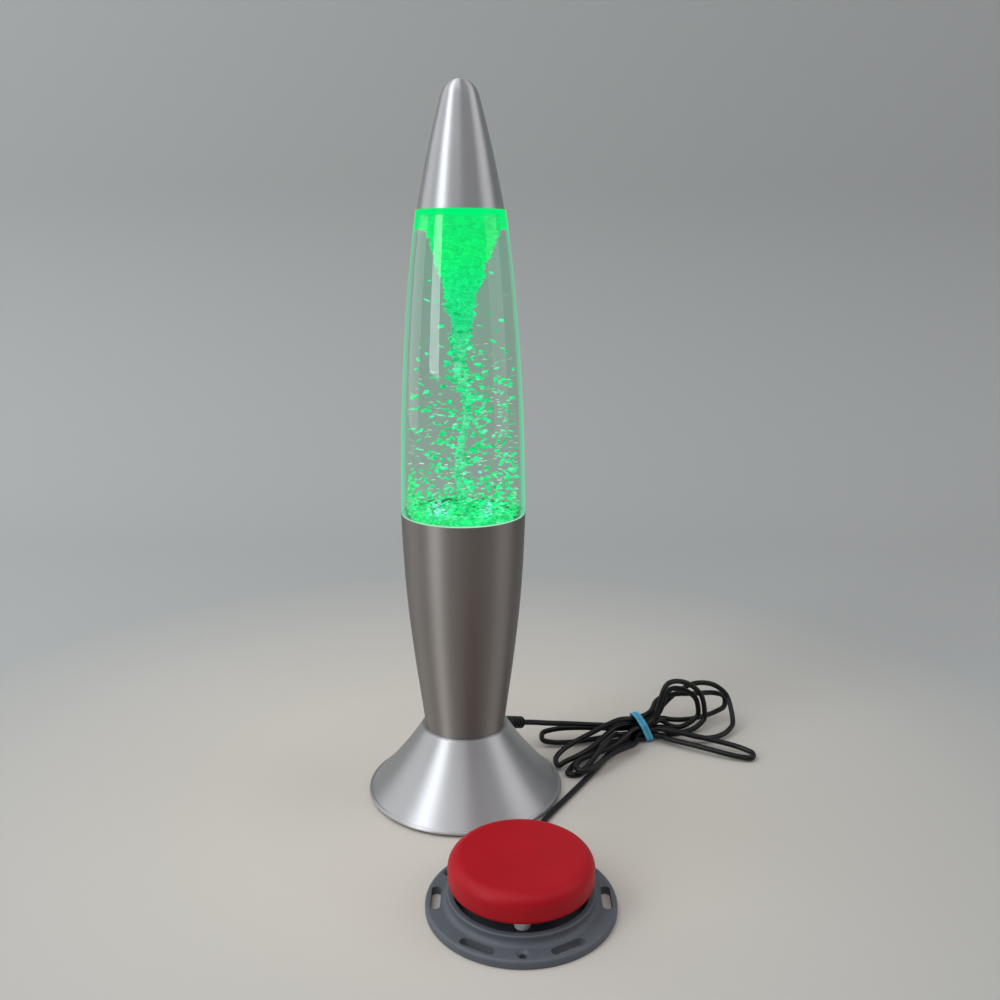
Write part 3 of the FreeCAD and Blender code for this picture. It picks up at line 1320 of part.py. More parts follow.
def settled(points, fixed):
    """Pushes the loops apart until no two strands touch, and keeps them off the table and the cone."""
    points = [tuple(point) for point in points]
    last = len(points) - 1
    for _ in range(SETTLE_ROUNDS):
        samples = []
        for i in range(1, last):
            owner = i
            if i in fixed and i + 1 not in fixed:
                owner = i + 1
            elif i in fixed and i - 1 not in fixed:
                owner = i - 1
            before, here, after = points[i - 1 : i + 2]
            samples.append((owner, along(before, along(here, before, -1), 0.5)))
            near = along(along(before, here, 6), after)
            samples.append((owner, tuple(x / 8 for x in near)))
        pieces = [(i, a, b, math.dist(a, b)) for (i, a), (_, b) in zip(samples, samples[1:])]
        moves = [(0.0, 0.0, 0.0)] * len(points)
        tightest = STRAND_CLEARANCE
        for m, (i, a, b, ab) in enumerate(pieces):
            for j, c, d, cd in pieces[m + 6 :]:
                reach = STRAND_CLEARANCE + ab + cd
                if abs(a[0] - c[0]) > reach or abs(a[1] - c[1]) > reach or abs(a[2] - c[2]) > reach:
                    continue
                if i in fixed and j in fixed:
                    continue
                gap, way = least_apart(a, b, c, d)
                if gap < STRAND_CLEARANCE:
                    tightest = min(tightest, gap)
                    push = 0.6 * (STRAND_CLEARANCE - gap)
                    share = 1.0 if i in fixed or j in fixed else 0.5
                    if i not in fixed:
                        moves[i] = along(moves[i], way, push * share)
                    if j not in fixed:
                        moves[j] = along(moves[j], way, -push * share)
        for i in range(1, last):
            if i in fixed:
                continue
            move = tuple(0.6 * x for x in moves[i])
            for side in (i - 1, i + 1):
                if side not in fixed:
                    move = along(move, moves[side], 0.25)
            x, y, z = along(points[i], move)
            push = max(1.0, CORD_CONE_CLEARANCE / math.hypot(x, y))
            points[i] = (x * push, y * push, max(z, CORD_FLOOR))
        if STRAND_CLEARANCE - tightest < 0.03:
            break
    return points


def relief_tip():
    start, direction = relief_axis()
    return start + direction * RELIEF_LENGTH, direction


def grommet_face():
    """Middle of the outer face of the switch's grommet, and the way out of it."""
    x, y = polar(RING_RADIUS + GROMMET_COLLAR, SWITCH_CORD_ANGLE)
    out = Vector(*polar(1, SWITCH_CORD_ANGLE), 0)
    return Vector(SWITCH_X + x, SWITCH_Y + y, SWITCH_CORD_HEIGHT), out


def cord_pieces():
    """The cord's three lengths: from the lamp to the tie, the looped bundle, and on to the switch."""
    route = cord_points()
    before = len(LAMP_LEAD) + 1
    bundle = route[before : len(route) - len(SWITCH_LEAD)]
    start = strand_point(*STRAND_SLOTS[0], -STRAND_END)
    end = strand_point(*STRAND_SLOTS[-1], -STRAND_END)
    first, lamp_radii = route_edges([Vector(*p) for p in route[: before + 1] + [start]])
    face, out = grommet_face()
    over_edge = face + out * (FLANGE_RADIUS - RING_RADIUS - GROMMET_COLLAR + 2.0)
    tail = [Vector(*p) for p in [end, bundle[-1]] + list(SWITCH_LEAD)] + [over_edge, face]
    second, switch_radii = route_edges(tail)
    corners = [Vector(*p) for p in bundle]
    lengths = [(b - a).Length for a, b in zip(corners, corners[1:])]
    held = {i for i, length in enumerate(lengths) if length > 1.99 * STRAND_REACH}
    stops = []
    for i, (a, b) in enumerate(zip(corners, corners[1:])):
        way = (b - a).normalize()
        middle = (a + b) * 0.5
        if i in held:
            stops.append((middle - way * STRAND_STRAIGHT, way))
            stops.append((middle + way * STRAND_STRAIGHT, way))
        else:
            stops.append((middle, way))
    edges = [Part.makeLine(Vector(*start), stops[0][0])]
    for (a, way_a), (b, way_b) in zip(stops, stops[1:]):
        if (b - a).getAngle(way_a) < 1e-4 and way_a.getAngle(way_b) < 1e-4:
            edges.append(Part.makeLine(a, b))
        else:
            edges += biarc(a, way_a, b, way_b)
    edges.append(Part.makeLine(stops[-1][0], Vector(*end)))
    report_cord(first, edges, second, lamp_radii + switch_radii)
    runs = (first, edges, second)
    tubes = [tube(run, CORD_RADIUS) for run in runs]
    for run, shape in zip(runs, tubes):
        straight = math.pi * CORD_RADIUS**2 * sum(edge.Length for edge in run)
        print("cord tube: volume over section times length %.4f" % (shape.Volume / straight))
    return tubes


def report_cord(first, bundle, second, radii):
    print("cord arcs of the leads: least radius %.1f mm" % min(radii))
    arcs = [edge for edge in bundle if edge.Curve.TypeId == "Part::GeomCircle"]
    bends = [edge.Curve.Radius for edge in arcs]
    print("cord arcs of the bundle: least radius %.1f mm" % min(bends))
    samples = []
    travelled = 0.0
    for edge in first + bundle + second:
        steps = max(2, int(edge.Length / 0.8))
        points = edge.discretize(steps + 1)
        if samples:
            last = samples[-1][1]
            if points[0].distanceToPoint(last) > points[-1].distanceToPoint(last):
                points = points[::-1]
        for i, point in enumerate(points[:-1]):
            samples.append((travelled + edge.Length * i / steps, point))
        travelled += edge.Length
    cells = {}
    least = 1e9
    for s, point in samples:
        key = (int(point.x // 5), int(point.y // 5), int(point.z // 5))
        for dx in (-1, 0, 1):
            for dy in (-1, 0, 1):
                for dz in (-1, 0, 1):
                    for other_s, other in cells.get((key[0] + dx, key[1] + dy, key[2] + dz), ()):
                        if s - other_s > 12 * CORD_RADIUS / 2:
                            least = min(least, point.distanceToPoint(other))
        cells.setdefault(key, []).append((s, point))
    print("cord length %.1f mm, least gap to itself %.2f mm" % (travelled, least - 2 * CORD_RADIUS))


def cord_tie():
    """Rubber band round the bundle, wound twice, on a slant."""
    hull = [(-1, -1.5), (1, -1.5), (1, 0.5), (0.35, 1.5), (-0.35, 1.5), (-1, 0.5)]
    points = [Vector(x * STRAND_PITCH, y * STRAND_PITCH, -2 * BAND_WIDTH) for x, y in hull]
    face = Part.Face(Part.makePolygon(points + points[:1]))
    bore = CORD_RADIUS + BAND_CLEARANCE
    run = Vector(0, 0, 4 * BAND_WIDTH)
    inner, groove, outer = (
        face.makeOffset2D(bore + share * BAND_THICKNESS).extrude(run) for share in (0, 0.6, 1)
    )
    side = 8 * BAND_WIDTH
    leaning = FreeCAD.Placement(Vector(), Rotation(Vector(1, 0, 0), -BAND_SLANT))
    slabs = []
    for width in (BAND_WIDTH, BAND_GROOVE):
        slab = block(-side, side, -side, side, -width / 2, width / 2)
        slab.Placement = leaning
        slabs.append(slab)
    band = outer.cut(inner).common(slabs[0]).cut(outer.cut(groove).common(slabs[1]))
    axis, across, up = (Vector(*v) for v in tie_axes())
    middle = Vector(*strand_point(1, 1.5, BAND_SHIFT))
    band.Placement = FreeCAD.Placement(middle, Rotation(across, up, axis, "ZXY"))
    return band


def wires(*routes):
    return [wire_tube(route, WIRE_RADIUS) for route in routes]


def cone_wires():
    """From the cord and the slide switch to the control board."""
    start, direction = relief_axis()
    bend = BOARD_TOP + WIRE_BEND
    across = Vector(-direction.y, direction.x, 0).normalize()
    routes = []
    for side, (x, y) in zip((-1, 1), CORD_WIRE_ENDS):
        point = start + across * (side * CORD_RADIUS * 0.8)
        back = point - direction * WIRE_BEND
        over = (x + CORD_RADIUS, y + CORD_RADIUS, bend + CORD_RADIUS)
        routes.append([tuple(point), tuple(back), over, (x, y, bend), (x, y, BOARD_TOP)])
    at = POWER_SWITCH_AT
    leg = PLATE_TOP + POWER_SWITCH_SIZE[2] + POWER_LEG
    side = -BAY_HALF_X - 2.5 * TRAY_WALL
    for x, y in POWER_WIRE_ENDS:
        routes.append([
            (at, y, leg),
            (at, y, leg + WIRE_BEND),
            (side, y, BOARD_TOP - 1),
            (side + 8, y, bend),
            (x, y, bend),
            (x, y, BOARD_TOP),
        ])
    return wires(*routes)


def motor_wires():
    """From the control board, up the threaded tube, to the motor's tabs."""
    tab = MOTOR_BOTTOM - MOTOR_TAB
    room = tab - FRAME_FOOT_TOP
    inside, _ = TUBE_WIRES[0]
    routes = []
    for side in (-1, 1):
        routes.append([
            (side * MOTOR_WIRE_END, 0, BOARD_TOP),
            (side * MOTOR_WIRE_END, 0, BOARD_TOP + WIRE_BEND),
            (side * inside, 0, TUBE_BOTTOM + 2),
            (side * inside, 0, FRAME_FOOT_TOP + 0.2 * room),
            (side * 2.5 * inside, -2.5, FRAME_FOOT_TOP + 0.5 * room),
            (side * MOTOR_TAB_AT, -1.5, FRAME_FOOT_TOP + 0.75 * room),
            (side * MOTOR_TAB_AT, 0, FRAME_FOOT_TOP + 0.9 * room),
            (side * MOTOR_TAB_AT, 0, tab),
        ])
    return wires(*routes)


def light_wires():
    """From the control board, up the threaded tube and past the motor, to the light board."""
    x0, y0 = LIGHT_LEADS_AT
    room = MOTOR_BOTTOM - FRAME_FOOT_TOP
    (foot_x, foot_y), (inside_x, inside_y) = LIGHT_WIRE_END, TUBE_WIRES[1]
    routes = []
    for side in (-1, 1):
        x = x0 + side * inside_x
        routes.append([
            (side * foot_x, foot_y, BOARD_TOP),
            (side * foot_x, foot_y, BOARD_TOP + 0.9 * WIRE_BEND),
            (side * inside_x, inside_y, TUBE_BOTTOM - 1),
            (side * inside_x, inside_y + 0.3, FRAME_FOOT_TOP + 0.2 * room),
            (x, 0.5 * y0, FRAME_FOOT_TOP + 0.5 * room),
            (x, 0.8 * y0, MOTOR_BOTTOM - 4),
            (x, 0.87 * y0, SHELF_BOTTOM - 8),
            (x, y0, SHELF_BOTTOM - 2),
            (x, y0, LEDGE_TOP),
        ])
    return wires(*routes)


# Press switch


def switch_base():
    """Round base: mounting flange, raised ring, bracket for the snap switch and spring spigots."""
    flange = rounded_disc(FLANGE_RADIUS, 0, FLANGE_THICKNESS, 0.6, FLANGE_ROUND)
    ring = rounded_disc(RING_RADIUS, 0, RING_TOP, 0, RING_ROUND)
    lip_low = RING_TOP - LIP_HEIGHT
    lip_angle = math.degrees(HOOK_WIDTH / 2 / LIP_RADIUS) + 4
    foot = turned(foot_fillet())
    body = fused([flange, ring, foot]).cut(disc(RECESS_RADIUS, RECESS_FLOOR, RING_TOP + 1))
    low = RECESS_FLOOR - 0.5
    sector = (Vector(0, 0, lip_low), Vector(0, 0, 1), 2 * lip_angle)
    lip = Part.makeCylinder(RECESS_RADIUS + 0.5, LIP_HEIGHT, *sector)
    lip = lip.cut(disc(LIP_RADIUS, lip_low, RING_TOP))
    lips = [placed(lip, turn=angle - lip_angle) for angle in HOOK_ANGLES]
    spigot = rounded_disc(SPRING_SPIGOT_RADIUS, low, RECESS_FLOOR + SPRING_SPIGOT_HEIGHT, 0, 0.4)
    spigots = round_copies(spigot, SPRING_CIRCLE, SPRING_ANGLES)
    half_x, near = SNAP_BRACKET_LENGTH / 2, SNAP_WIDTH / 2
    far, high = near + SNAP_BRACKET_WALL, RECESS_FLOOR + SNAP_BRACKET_HEIGHT
    walls = [
        block(-half_x, half_x, near, far, low, high),
        block(-half_x, half_x, -far, -near, low, high),
    ]
    body = fused([body] + lips + spigots + walls)
    end, straight = disc(SLOT_WIDTH / 2, -1, RING_TOP + 1), (SLOT_LENGTH - SLOT_WIDTH) / 2
    middle = block(-SLOT_WIDTH / 2, SLOT_WIDTH / 2, -straight, straight, -1, RING_TOP + 1)
    slot = fused([middle, placed(end, y=straight), placed(end, y=-straight)])
    cuts = round_copies(slot, SLOT_CIRCLE, [360 / SLOT_COUNT * i for i in range(SLOT_COUNT)])
    hole = turned([
        (0, -1),
        (HOLE_RADIUS, -1),
        (HOLE_RADIUS, FLANGE_THICKNESS - (HOLE_SINK_RADIUS - HOLE_RADIUS)),
        (HOLE_SINK_RADIUS, FLANGE_THICKNESS),
        (HOLE_SINK_RADIUS, RING_TOP + 1),
        (0, RING_TOP + 1),
    ])
    cuts += round_copies(hole, SLOT_CIRCLE, HOLE_ANGLES)
    cuts += [snap_screw_bore(x, RUNNING) for x in SNAP_SCREW_XS]
    cuts.append(grommet_form(RING_RADIUS + 6))
    return placed(body.cut(cuts), SWITCH_X, SWITCH_Y)


def foot_fillet():
    """Corners of the concave fillet at the foot of the ring."""
    wide, high = RING_RADIUS + RING_FOOT_ROUND, FLANGE_THICKNESS + RING_FOOT_ROUND
    inside, low = RING_RADIUS - 1, FLANGE_THICKNESS - 1
    corners = [(inside, low), (wide, low)]
    for degrees in range(0, 91, 15):
        x, z = polar(RING_FOOT_ROUND, degrees)
        corners.append((wide - z, high - x))
    return corners + [(inside, high)]


def grommet_form(reach):
    """Cylinder through the ring's wall, out to a reach from the switch's axis."""
    out = Vector(*polar(1, SWITCH_CORD_ANGLE), 0)
    start = out * (RECESS_RADIUS - 1.5) + Vector(0, 0, SWITCH_CORD_HEIGHT)
    return Part.makeCylinder(GROMMET_RADIUS, reach - RECESS_RADIUS + 1.5, start, out)


def switch_grommet():
    return placed(grommet_form(RING_RADIUS + GROMMET_COLLAR), SWITCH_X, SWITCH_Y)


def snap_screw_bore(x, clearance=0.0):
    reach = SNAP_WIDTH / 2 + SNAP_BRACKET_WALL
    start = Vector(x, -reach, RECESS_FLOOR + SNAP_SCREW_HEIGHT)
    return Part.makeCylinder(SNAP_SCREW_RADIUS + clearance, 2 * reach, start, Vector(0, 1, 0))


def snap_screws():
    """Screws through the bracket and the snap switch."""
    screws = []
    y = -SNAP_WIDTH / 2 - SNAP_BRACKET_WALL - SNAP_SCREW_HEAD
    z = RECESS_FLOOR + SNAP_SCREW_HEIGHT
    for x in SNAP_SCREW_XS:
        start = Vector(x, y, z)
        head = Part.makeCylinder(SNAP_SCREW_HEAD_RADIUS, SNAP_SCREW_HEAD, start, Vector(0, 1, 0))
        body = fused([head, snap_screw_bore(x)])
        slot = block(x - 2, x + 2, y, y + SNAP_SCREW_HEAD / 2, z - 0.3, z + 0.3)
        screws.append(placed(body.cut(slot), SWITCH_X, SWITCH_Y))
    return screws


def snap_switch():
    """Snap switch: a case with ears that carry the lever's pin, a plunger bore and two terminals."""
    half_x, half_y = SNAP_LENGTH / 2, SNAP_WIDTH / 2
    case = block(-half_x, half_x, -half_y, half_y, RECESS_FLOOR, SNAP_TOP)
    pivot_x, pivot_z = LEVER_AXIS
    ears = []
    for side in (-1, 1):
        near, far = sorted((side * (LEVER_WIDTH / 2 + 0.3), side * half_y))
        ear = block(pivot_x - 1.2, pivot_x + 1.2, near, far, SNAP_TOP - 0.5, pivot_z + 1.0)
        ears.append(ear)
    wide, thick = TERMINAL_WIDTH / 2, TERMINAL_THICKNESS / 2
    terminal = block(half_x - 1, half_x + TERMINAL_LENGTH, -wide, wide, -thick, thick)
    terminals = [placed(terminal, z=RECESS_FLOOR + height) for height in TERMINAL_HEIGHTS]
    body = fused([case] + ears + terminals)
    well = block(
        pivot_x - LEVER_EYE_RADIUS - 0.3,
        pivot_x + LEVER_EYE_RADIUS + 0.3,
        -LEVER_WIDTH / 2 - 0.3,
        LEVER_WIDTH / 2 + 0.3,
        pivot_z - LEVER_EYE_RADIUS - 0.3,
        SNAP_TOP,
    )
    plunger_bore = disc(PLUNGER_RADIUS + RUNNING, SNAP_TOP - PLUNGER_DEPTH, SNAP_TOP + 1)
    screw_bores = [snap_screw_bore(x, RUNNING) for x in SNAP_SCREW_XS]
    body = body.cut([well, placed(plunger_bore, PLUNGER_AT)] + screw_bores)
    pin_start = Vector(pivot_x, -half_y, pivot_z)
    pin = Part.makeCylinder(LEVER_PIN_RADIUS, SNAP_WIDTH, pin_start, Vector(0, 1, 0))
    return placed(fused([body, pin]), SWITCH_X, SWITCH_Y)


def snap_lever():
    """Spring steel lever with an eye round the snap switch's pin, raised at rest."""
    pivot_x, pivot_z = LEVER_AXIS
    half = LEVER_WIDTH / 2
    eye = Part.makeCylinder(LEVER_EYE_RADIUS, LEVER_WIDTH, Vector(0, -half, 0), Vector(0, 1, 0))
    leaf = block(0, LEVER_REACH, -half, half, -LEVER_THICKNESS / 2, LEVER_THICKNESS / 2)
    bore_start = Vector(0, -half - 1, 0)
    bore = Part.makeCylinder(LEVER_PIN_RADIUS + RUNNING, LEVER_WIDTH + 2, bore_start, Vector(0, 1, 0))
    lever = fused([eye, leaf]).cut(bore)
    lever.rotate(Vector(), Vector(0, 1, 0), -LEVER_REST)
    lever.translate(Vector(SWITCH_X + pivot_x, SWITCH_Y, pivot_z))
    return lever


def snap_plunger():
    low = SNAP_TOP - PLUNGER_DEPTH + PLUNGER_TRAVEL + 3 * RUNNING
    plunger = rounded_disc(PLUNGER_RADIUS, low, SNAP_TOP + PLUNGER_TOP, 0, 0.4)
    return placed(plunger, SWITCH_X + PLUNGER_AT, SWITCH_Y)


def press_disc():
    """Hollow red disc with a press boss, peg sockets, spring cups and hooks that hold it down."""
    inner = DISC_RADIUS - DISC_WALL
    shell = rounded_disc(DISC_RADIUS, DISC_BOTTOM, DISC_TOP, DISC_BOTTOM_ROUND, DISC_TOP_ROUND)
    sphere = (DISC_FLAT_RADIUS**2 + DISC_DISH**2) / (2 * DISC_DISH)
    dish = Part.makeSphere(sphere, Vector(0, 0, DISC_TOP - DISC_DISH + sphere))
    void = rounded_disc(inner, DISC_BOTTOM - 1, DISC_CEILING, 0, DISC_TOP_ROUND - DISC_WALL)
    shell = shell.cut([dish, void])
    roof = DISC_CEILING + 0.5
    socket = disc(PEG_RADIUS + SOCKET_WALL, DISC_BOTTOM + 1, roof, PEG_RADIUS)
    cup_bore = SPRING_RADIUS + 2 * SPRING_WIRE_RADIUS
    cup = disc(cup_bore + CUP_SKIRT_WALL, DISC_CEILING - CUP_SKIRT, roof, cup_bore)
    boss = disc(PRESS_BOSS_RADIUS, PRESS_BOSS_BOTTOM, roof)
    pieces = [shell, boss] + round_copies(socket, PEG_CIRCLE, PEG_ANGLES)
    pieces += round_copies(cup, SPRING_CIRCLE, SPRING_ANGLES)
    pieces += [placed(disc_hook(inner), turn=angle) for angle in HOOK_ANGLES]
    return placed(fused(pieces), SWITCH_X, SWITCH_Y)


def disc_hook(inner):
    """Leg with a toe at its foot, joined to the wall of the press disc at its top."""
    half, root = HOOK_WIDTH / 2, DISC_BOTTOM + HOOK_ROOT
    wall, high = inner + 0.8, DISC_CEILING - 2
    toe_top = HOOK_BOTTOM + HOOK_TOE_HEIGHT
    leg = fused([
        block(HOOK_INNER_RADIUS, HOOK_OUTER_RADIUS, -half, half, HOOK_BOTTOM, high),
        block(HOOK_INNER_RADIUS, HOOK_TOE_RADIUS, -half, half, HOOK_BOTTOM, toe_top),
        block(HOOK_INNER_RADIUS, wall, -half, half, root, high),
    ])
    return leg.common(disc(wall, 0, DISC_TOP)).cut(disc(2 * wall, 0, root, HOOK_TOE_RADIUS))


def guide_pegs():
    peg = rounded_disc(PEG_RADIUS, PEG_BOTTOM, DISC_CEILING, 1.6, 0)
    return [placed(p, SWITCH_X, SWITCH_Y) for p in round_copies(peg, PEG_CIRCLE, PEG_ANGLES)]


def return_springs():
    spring = coil_spring(SPRING_RADIUS, SPRING_WIRE_RADIUS, RECESS_FLOOR, DISC_CEILING, SPRING_TURNS)
    return [placed(s, SWITCH_X, SWITCH_Y) for s in round_copies(spring, SPRING_CIRCLE, SPRING_ANGLES)]


def switch_wires():
    """From the grommet to the snap switch's terminals."""
    out = Vector(*polar(1, SWITCH_CORD_ANGLE), 0)
    side = Vector(-out.y, out.x, 0)
    face = out * (RECESS_RADIUS - 1.5) + Vector(0, 0, SWITCH_CORD_HEIGHT)
    end = SNAP_LENGTH / 2 + TERMINAL_LENGTH - 1.0
    routes = []
    for way, z in zip((1, -1), TERMINAL_HEIGHTS):
        start = face - side * (way * 0.9)
        height = RECESS_FLOOR + z
        top = height + TERMINAL_THICKNESS / 2
        routes.append([
            tuple(start),
            tuple(start - out * 3.0),
            (8.5 - 1.5 * way, 16.0, SWITCH_CORD_HEIGHT),
            (end + 0.9, 7.0, top + 1.6),
            (end, 1.2, top + 1.9),
            (end, 0.0, top + 1.2),
            (end, 0.0, top),
        ])
    return [placed(wire, SWITCH_X, SWITCH_Y) for wire in wires(*routes)]


def main():
    os.makedirs("parts", exist_ok=True)
    parts = {
        "base_cone": base_cone(),
        "foot_ring": foot_ring(),
        "base_plate": base_plate(),
        "battery_door": battery_door(),
        "base_lugs": base_lugs(),
        "plate_screws": plate_screws(),
        "neck_gasket": neck_gasket(),
        "body_sleeve": body_sleeve(),
        "neck_tube": neck_tube(),
        "neck_nuts": neck_nuts(),
        "motor_frame": motor_frame(),
        "motor": motor(),
        "motor_screws": motor_screws(),
        "motor_shaft": motor_shaft(),
        "magnet_carrier": magnet_carrier(),
        "drive_magnets": drive_magnets(),
        "light_board": light_board(),
        "leds": leds(),
        "light_window": light_window(),
        "seat_ring": seat_ring(),
        "bottle": bottle(),
        "bottle_stopper": bottle_stopper(),
        "stopper_seal": stopper_seal(),
        "impeller_pin": impeller_pin(),
        "impeller": impeller(),
        "impeller_magnets": impeller_magnets(),
        "impeller_guard": impeller_guard(),
        "glitter_bed": glitter_bed(),
        "glitter_vortex": glitter_vortex(),
        "liquid": liquid(),
        "top_cap": top_cap(),
        "cap_liner": cap_liner(),
        "battery_tray": battery_tray(),
        "battery_cells": battery_cells(),
        "battery_contacts": battery_contacts(),
        "battery_springs": battery_springs(),
        "control_board": control_board(),
        "board_parts": board_parts(),
        "power_switch": power_switch(),
        "power_knob": power_knob(),
        "cord_strain_relief": cord_strain_relief(),
        "cone_wires": cone_wires(),
        "motor_wires": motor_wires(),
        "light_wires": light_wires(),
        "cord_tie": cord_tie(),
        "switch_base": switch_base(),
        "switch_grommet": switch_grommet(),
        "snap_switch": snap_switch(),
        "snap_screws": snap_screws(),
        "snap_lever": snap_lever(),
        "snap_plunger": snap_plunger(),
        "press_disc": press_disc(),
        "guide_pegs": guide_pegs(),
        "return_springs": return_springs(),
        "switch_wires": switch_wires(),
    }
    parts["lamp_lead"], parts["cord_hank"], parts["switch_lead"] = cord_pieces()
    for name, shape in parts.items():
        solids = shape if isinstance(shape, list) else [shape]
        whole = Part.makeCompound(solids) if len(solids) > 1 else solids[0]
        bad = [s for s in solids if not s.isValid() or len(s.Solids) != 1]
        print(name, len(whole.Solids), round(whole.Volume, 1), "BAD" if bad else "")
        whole.exportStep("parts/%s.step" % name)


main()
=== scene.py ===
"""Looks of a tornado lamp with a press switch, laid out as an add-on and run as a script."""

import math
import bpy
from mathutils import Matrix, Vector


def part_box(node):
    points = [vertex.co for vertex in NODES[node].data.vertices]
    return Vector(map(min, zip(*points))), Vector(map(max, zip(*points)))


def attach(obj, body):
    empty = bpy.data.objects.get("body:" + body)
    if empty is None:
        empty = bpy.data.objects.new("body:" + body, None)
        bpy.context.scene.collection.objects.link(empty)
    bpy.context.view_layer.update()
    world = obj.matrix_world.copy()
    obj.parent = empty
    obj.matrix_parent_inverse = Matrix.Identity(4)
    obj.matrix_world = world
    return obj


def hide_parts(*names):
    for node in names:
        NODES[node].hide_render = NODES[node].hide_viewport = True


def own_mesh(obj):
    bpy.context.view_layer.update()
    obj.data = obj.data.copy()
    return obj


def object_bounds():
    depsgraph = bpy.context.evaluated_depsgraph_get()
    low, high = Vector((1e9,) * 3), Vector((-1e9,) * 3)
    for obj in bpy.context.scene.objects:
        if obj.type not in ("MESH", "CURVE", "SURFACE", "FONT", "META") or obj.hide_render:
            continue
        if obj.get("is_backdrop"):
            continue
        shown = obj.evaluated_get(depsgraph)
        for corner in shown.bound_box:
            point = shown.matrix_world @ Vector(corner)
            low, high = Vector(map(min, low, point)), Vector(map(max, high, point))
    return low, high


bl_info = {
    "name": "Tornado Lamp",
    "version": (1, 0, 0),
    "blender": (4, 5, 0),
    "location": "View3D > Sidebar > Lamp",
    "description": "Dresses the tornado lamp, its glitter, its cord and its press switch",
    "category": "Object",
}

import bmesh
import bpy
from bpy.props import FloatProperty, FloatVectorProperty, IntProperty, PointerProperty
from mathutils import Vector, noise

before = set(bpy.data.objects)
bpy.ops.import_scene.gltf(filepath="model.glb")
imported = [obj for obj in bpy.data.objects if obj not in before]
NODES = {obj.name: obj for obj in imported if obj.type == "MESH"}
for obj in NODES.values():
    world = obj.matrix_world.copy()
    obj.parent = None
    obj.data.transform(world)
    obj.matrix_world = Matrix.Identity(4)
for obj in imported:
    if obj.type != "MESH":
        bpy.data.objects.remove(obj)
CAD_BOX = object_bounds()
MM = 0.001

# Places on the lamp's axis, read from the frame
BOTTLE_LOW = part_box("bottle")[0].z
SLEEVE_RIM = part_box("body_sleeve")[1].z
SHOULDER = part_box("top_cap")[0].z - 0.25 * MM


# Sizes and colours


def colour_setting(name, description, default):
    return FloatVectorProperty(name=name, description=description, subtype="COLOR", default=default)


def length_setting(name, description, default, least):
    return FloatProperty(
        name=name, description=description, default=default, min=least, subtype="DISTANCE", unit="LENGTH"
    )


class LampLook(bpy.types.PropertyGroup):
    """Colours of the lamp and of its glitter."""

    silver: colour_setting("Silver", "Colour of the metal", (0.63, 0.63, 0.64))
    glitter: colour_setting("Glitter", "Colour of the lit flakes", (0.0, 0.9, 0.19))
    edge: colour_setting("Edge", "Light at the bottle's edges", (0.1, 0.7, 0.36))
    haze: colour_setting("Haze", "Light scattered in the water", (0.02, 0.88, 0.5))
    glow: FloatProperty(name="Glow", description="Brightness of the lit glitter", default=0.85, min=0)
    flake: length_setting("Flake", "Radius of a common flake", 1.3 * MM, 0.1 * MM)
    seed: IntProperty(name="Seed", description="Seed of the strewn flakes", default=4, min=0)


class CordLook(bpy.types.PropertyGroup):
    """Colour and thickness of the cord, and colour of its band."""

    jacket: colour_setting("Jacket", "Colour of the cord", (0.006, 0.006, 0.007))
    width: length_setting("Width", "Diameter of the cord", 3 * MM, 1 * MM)
    band: colour_setting("Band", "Colour of the rubber band", (0.08, 0.42, 0.62))


class SwitchLook(bpy.types.PropertyGroup):
    """Colours of the press switch."""

    disc: colour_setting("Disc", "Colour of the press disc", (0.43, 0.004, 0.012))
    flange: colour_setting("Flange", "Colour of the base", (0.1, 0.11, 0.13))
    peg: colour_setting("Peg", "Colour of the guide pegs", (0.8, 0.79, 0.77))


class StageLook(bpy.types.PropertyGroup):
    """Floor, backdrop and camera."""

    floor: colour_setting("Floor", "Colour of the floor", (0.62, 0.575, 0.52))
    backdrop: colour_setting("Backdrop", "Colour of the backdrop", (0.42, 0.43, 0.42))
    lens: FloatProperty(name="Lens", description="Focal length in mm", default=37.0, min=10, max=200)


def show(context, name, data):
    """A new object with this mesh, curve, light or camera, in the scene."""
    made = bpy.data.objects.new(name, data)
    context.scene.collection.objects.link(made)
    return made


# Materials


def plug(tree, value, socket):
    """Links another node's output to a socket, or sets the socket's value."""
    if isinstance(value, bpy.types.NodeSocket):
        tree.links.new(value, socket)
    else:
        socket.default_value = value


def add_node(tree, kind, inputs, **settings):
    """A node with its settings, whose inputs get values or other nodes' outputs."""
    made = tree.nodes.new(kind)
    for name, value in settings.items():
        setattr(made, name, value)
    for key, value in inputs.items():
        plug(tree, value, made.inputs[key])
    return made


def rgba(colour):
    """A colour with the alpha that a socket takes. A node's output stays as it is."""
    return colour if isinstance(colour, bpy.types.NodeSocket) else (*colour, 1)


# Share of a lit pattern that stays as base colour
LIT_BASE = (0.3, 0.3, 0.3)


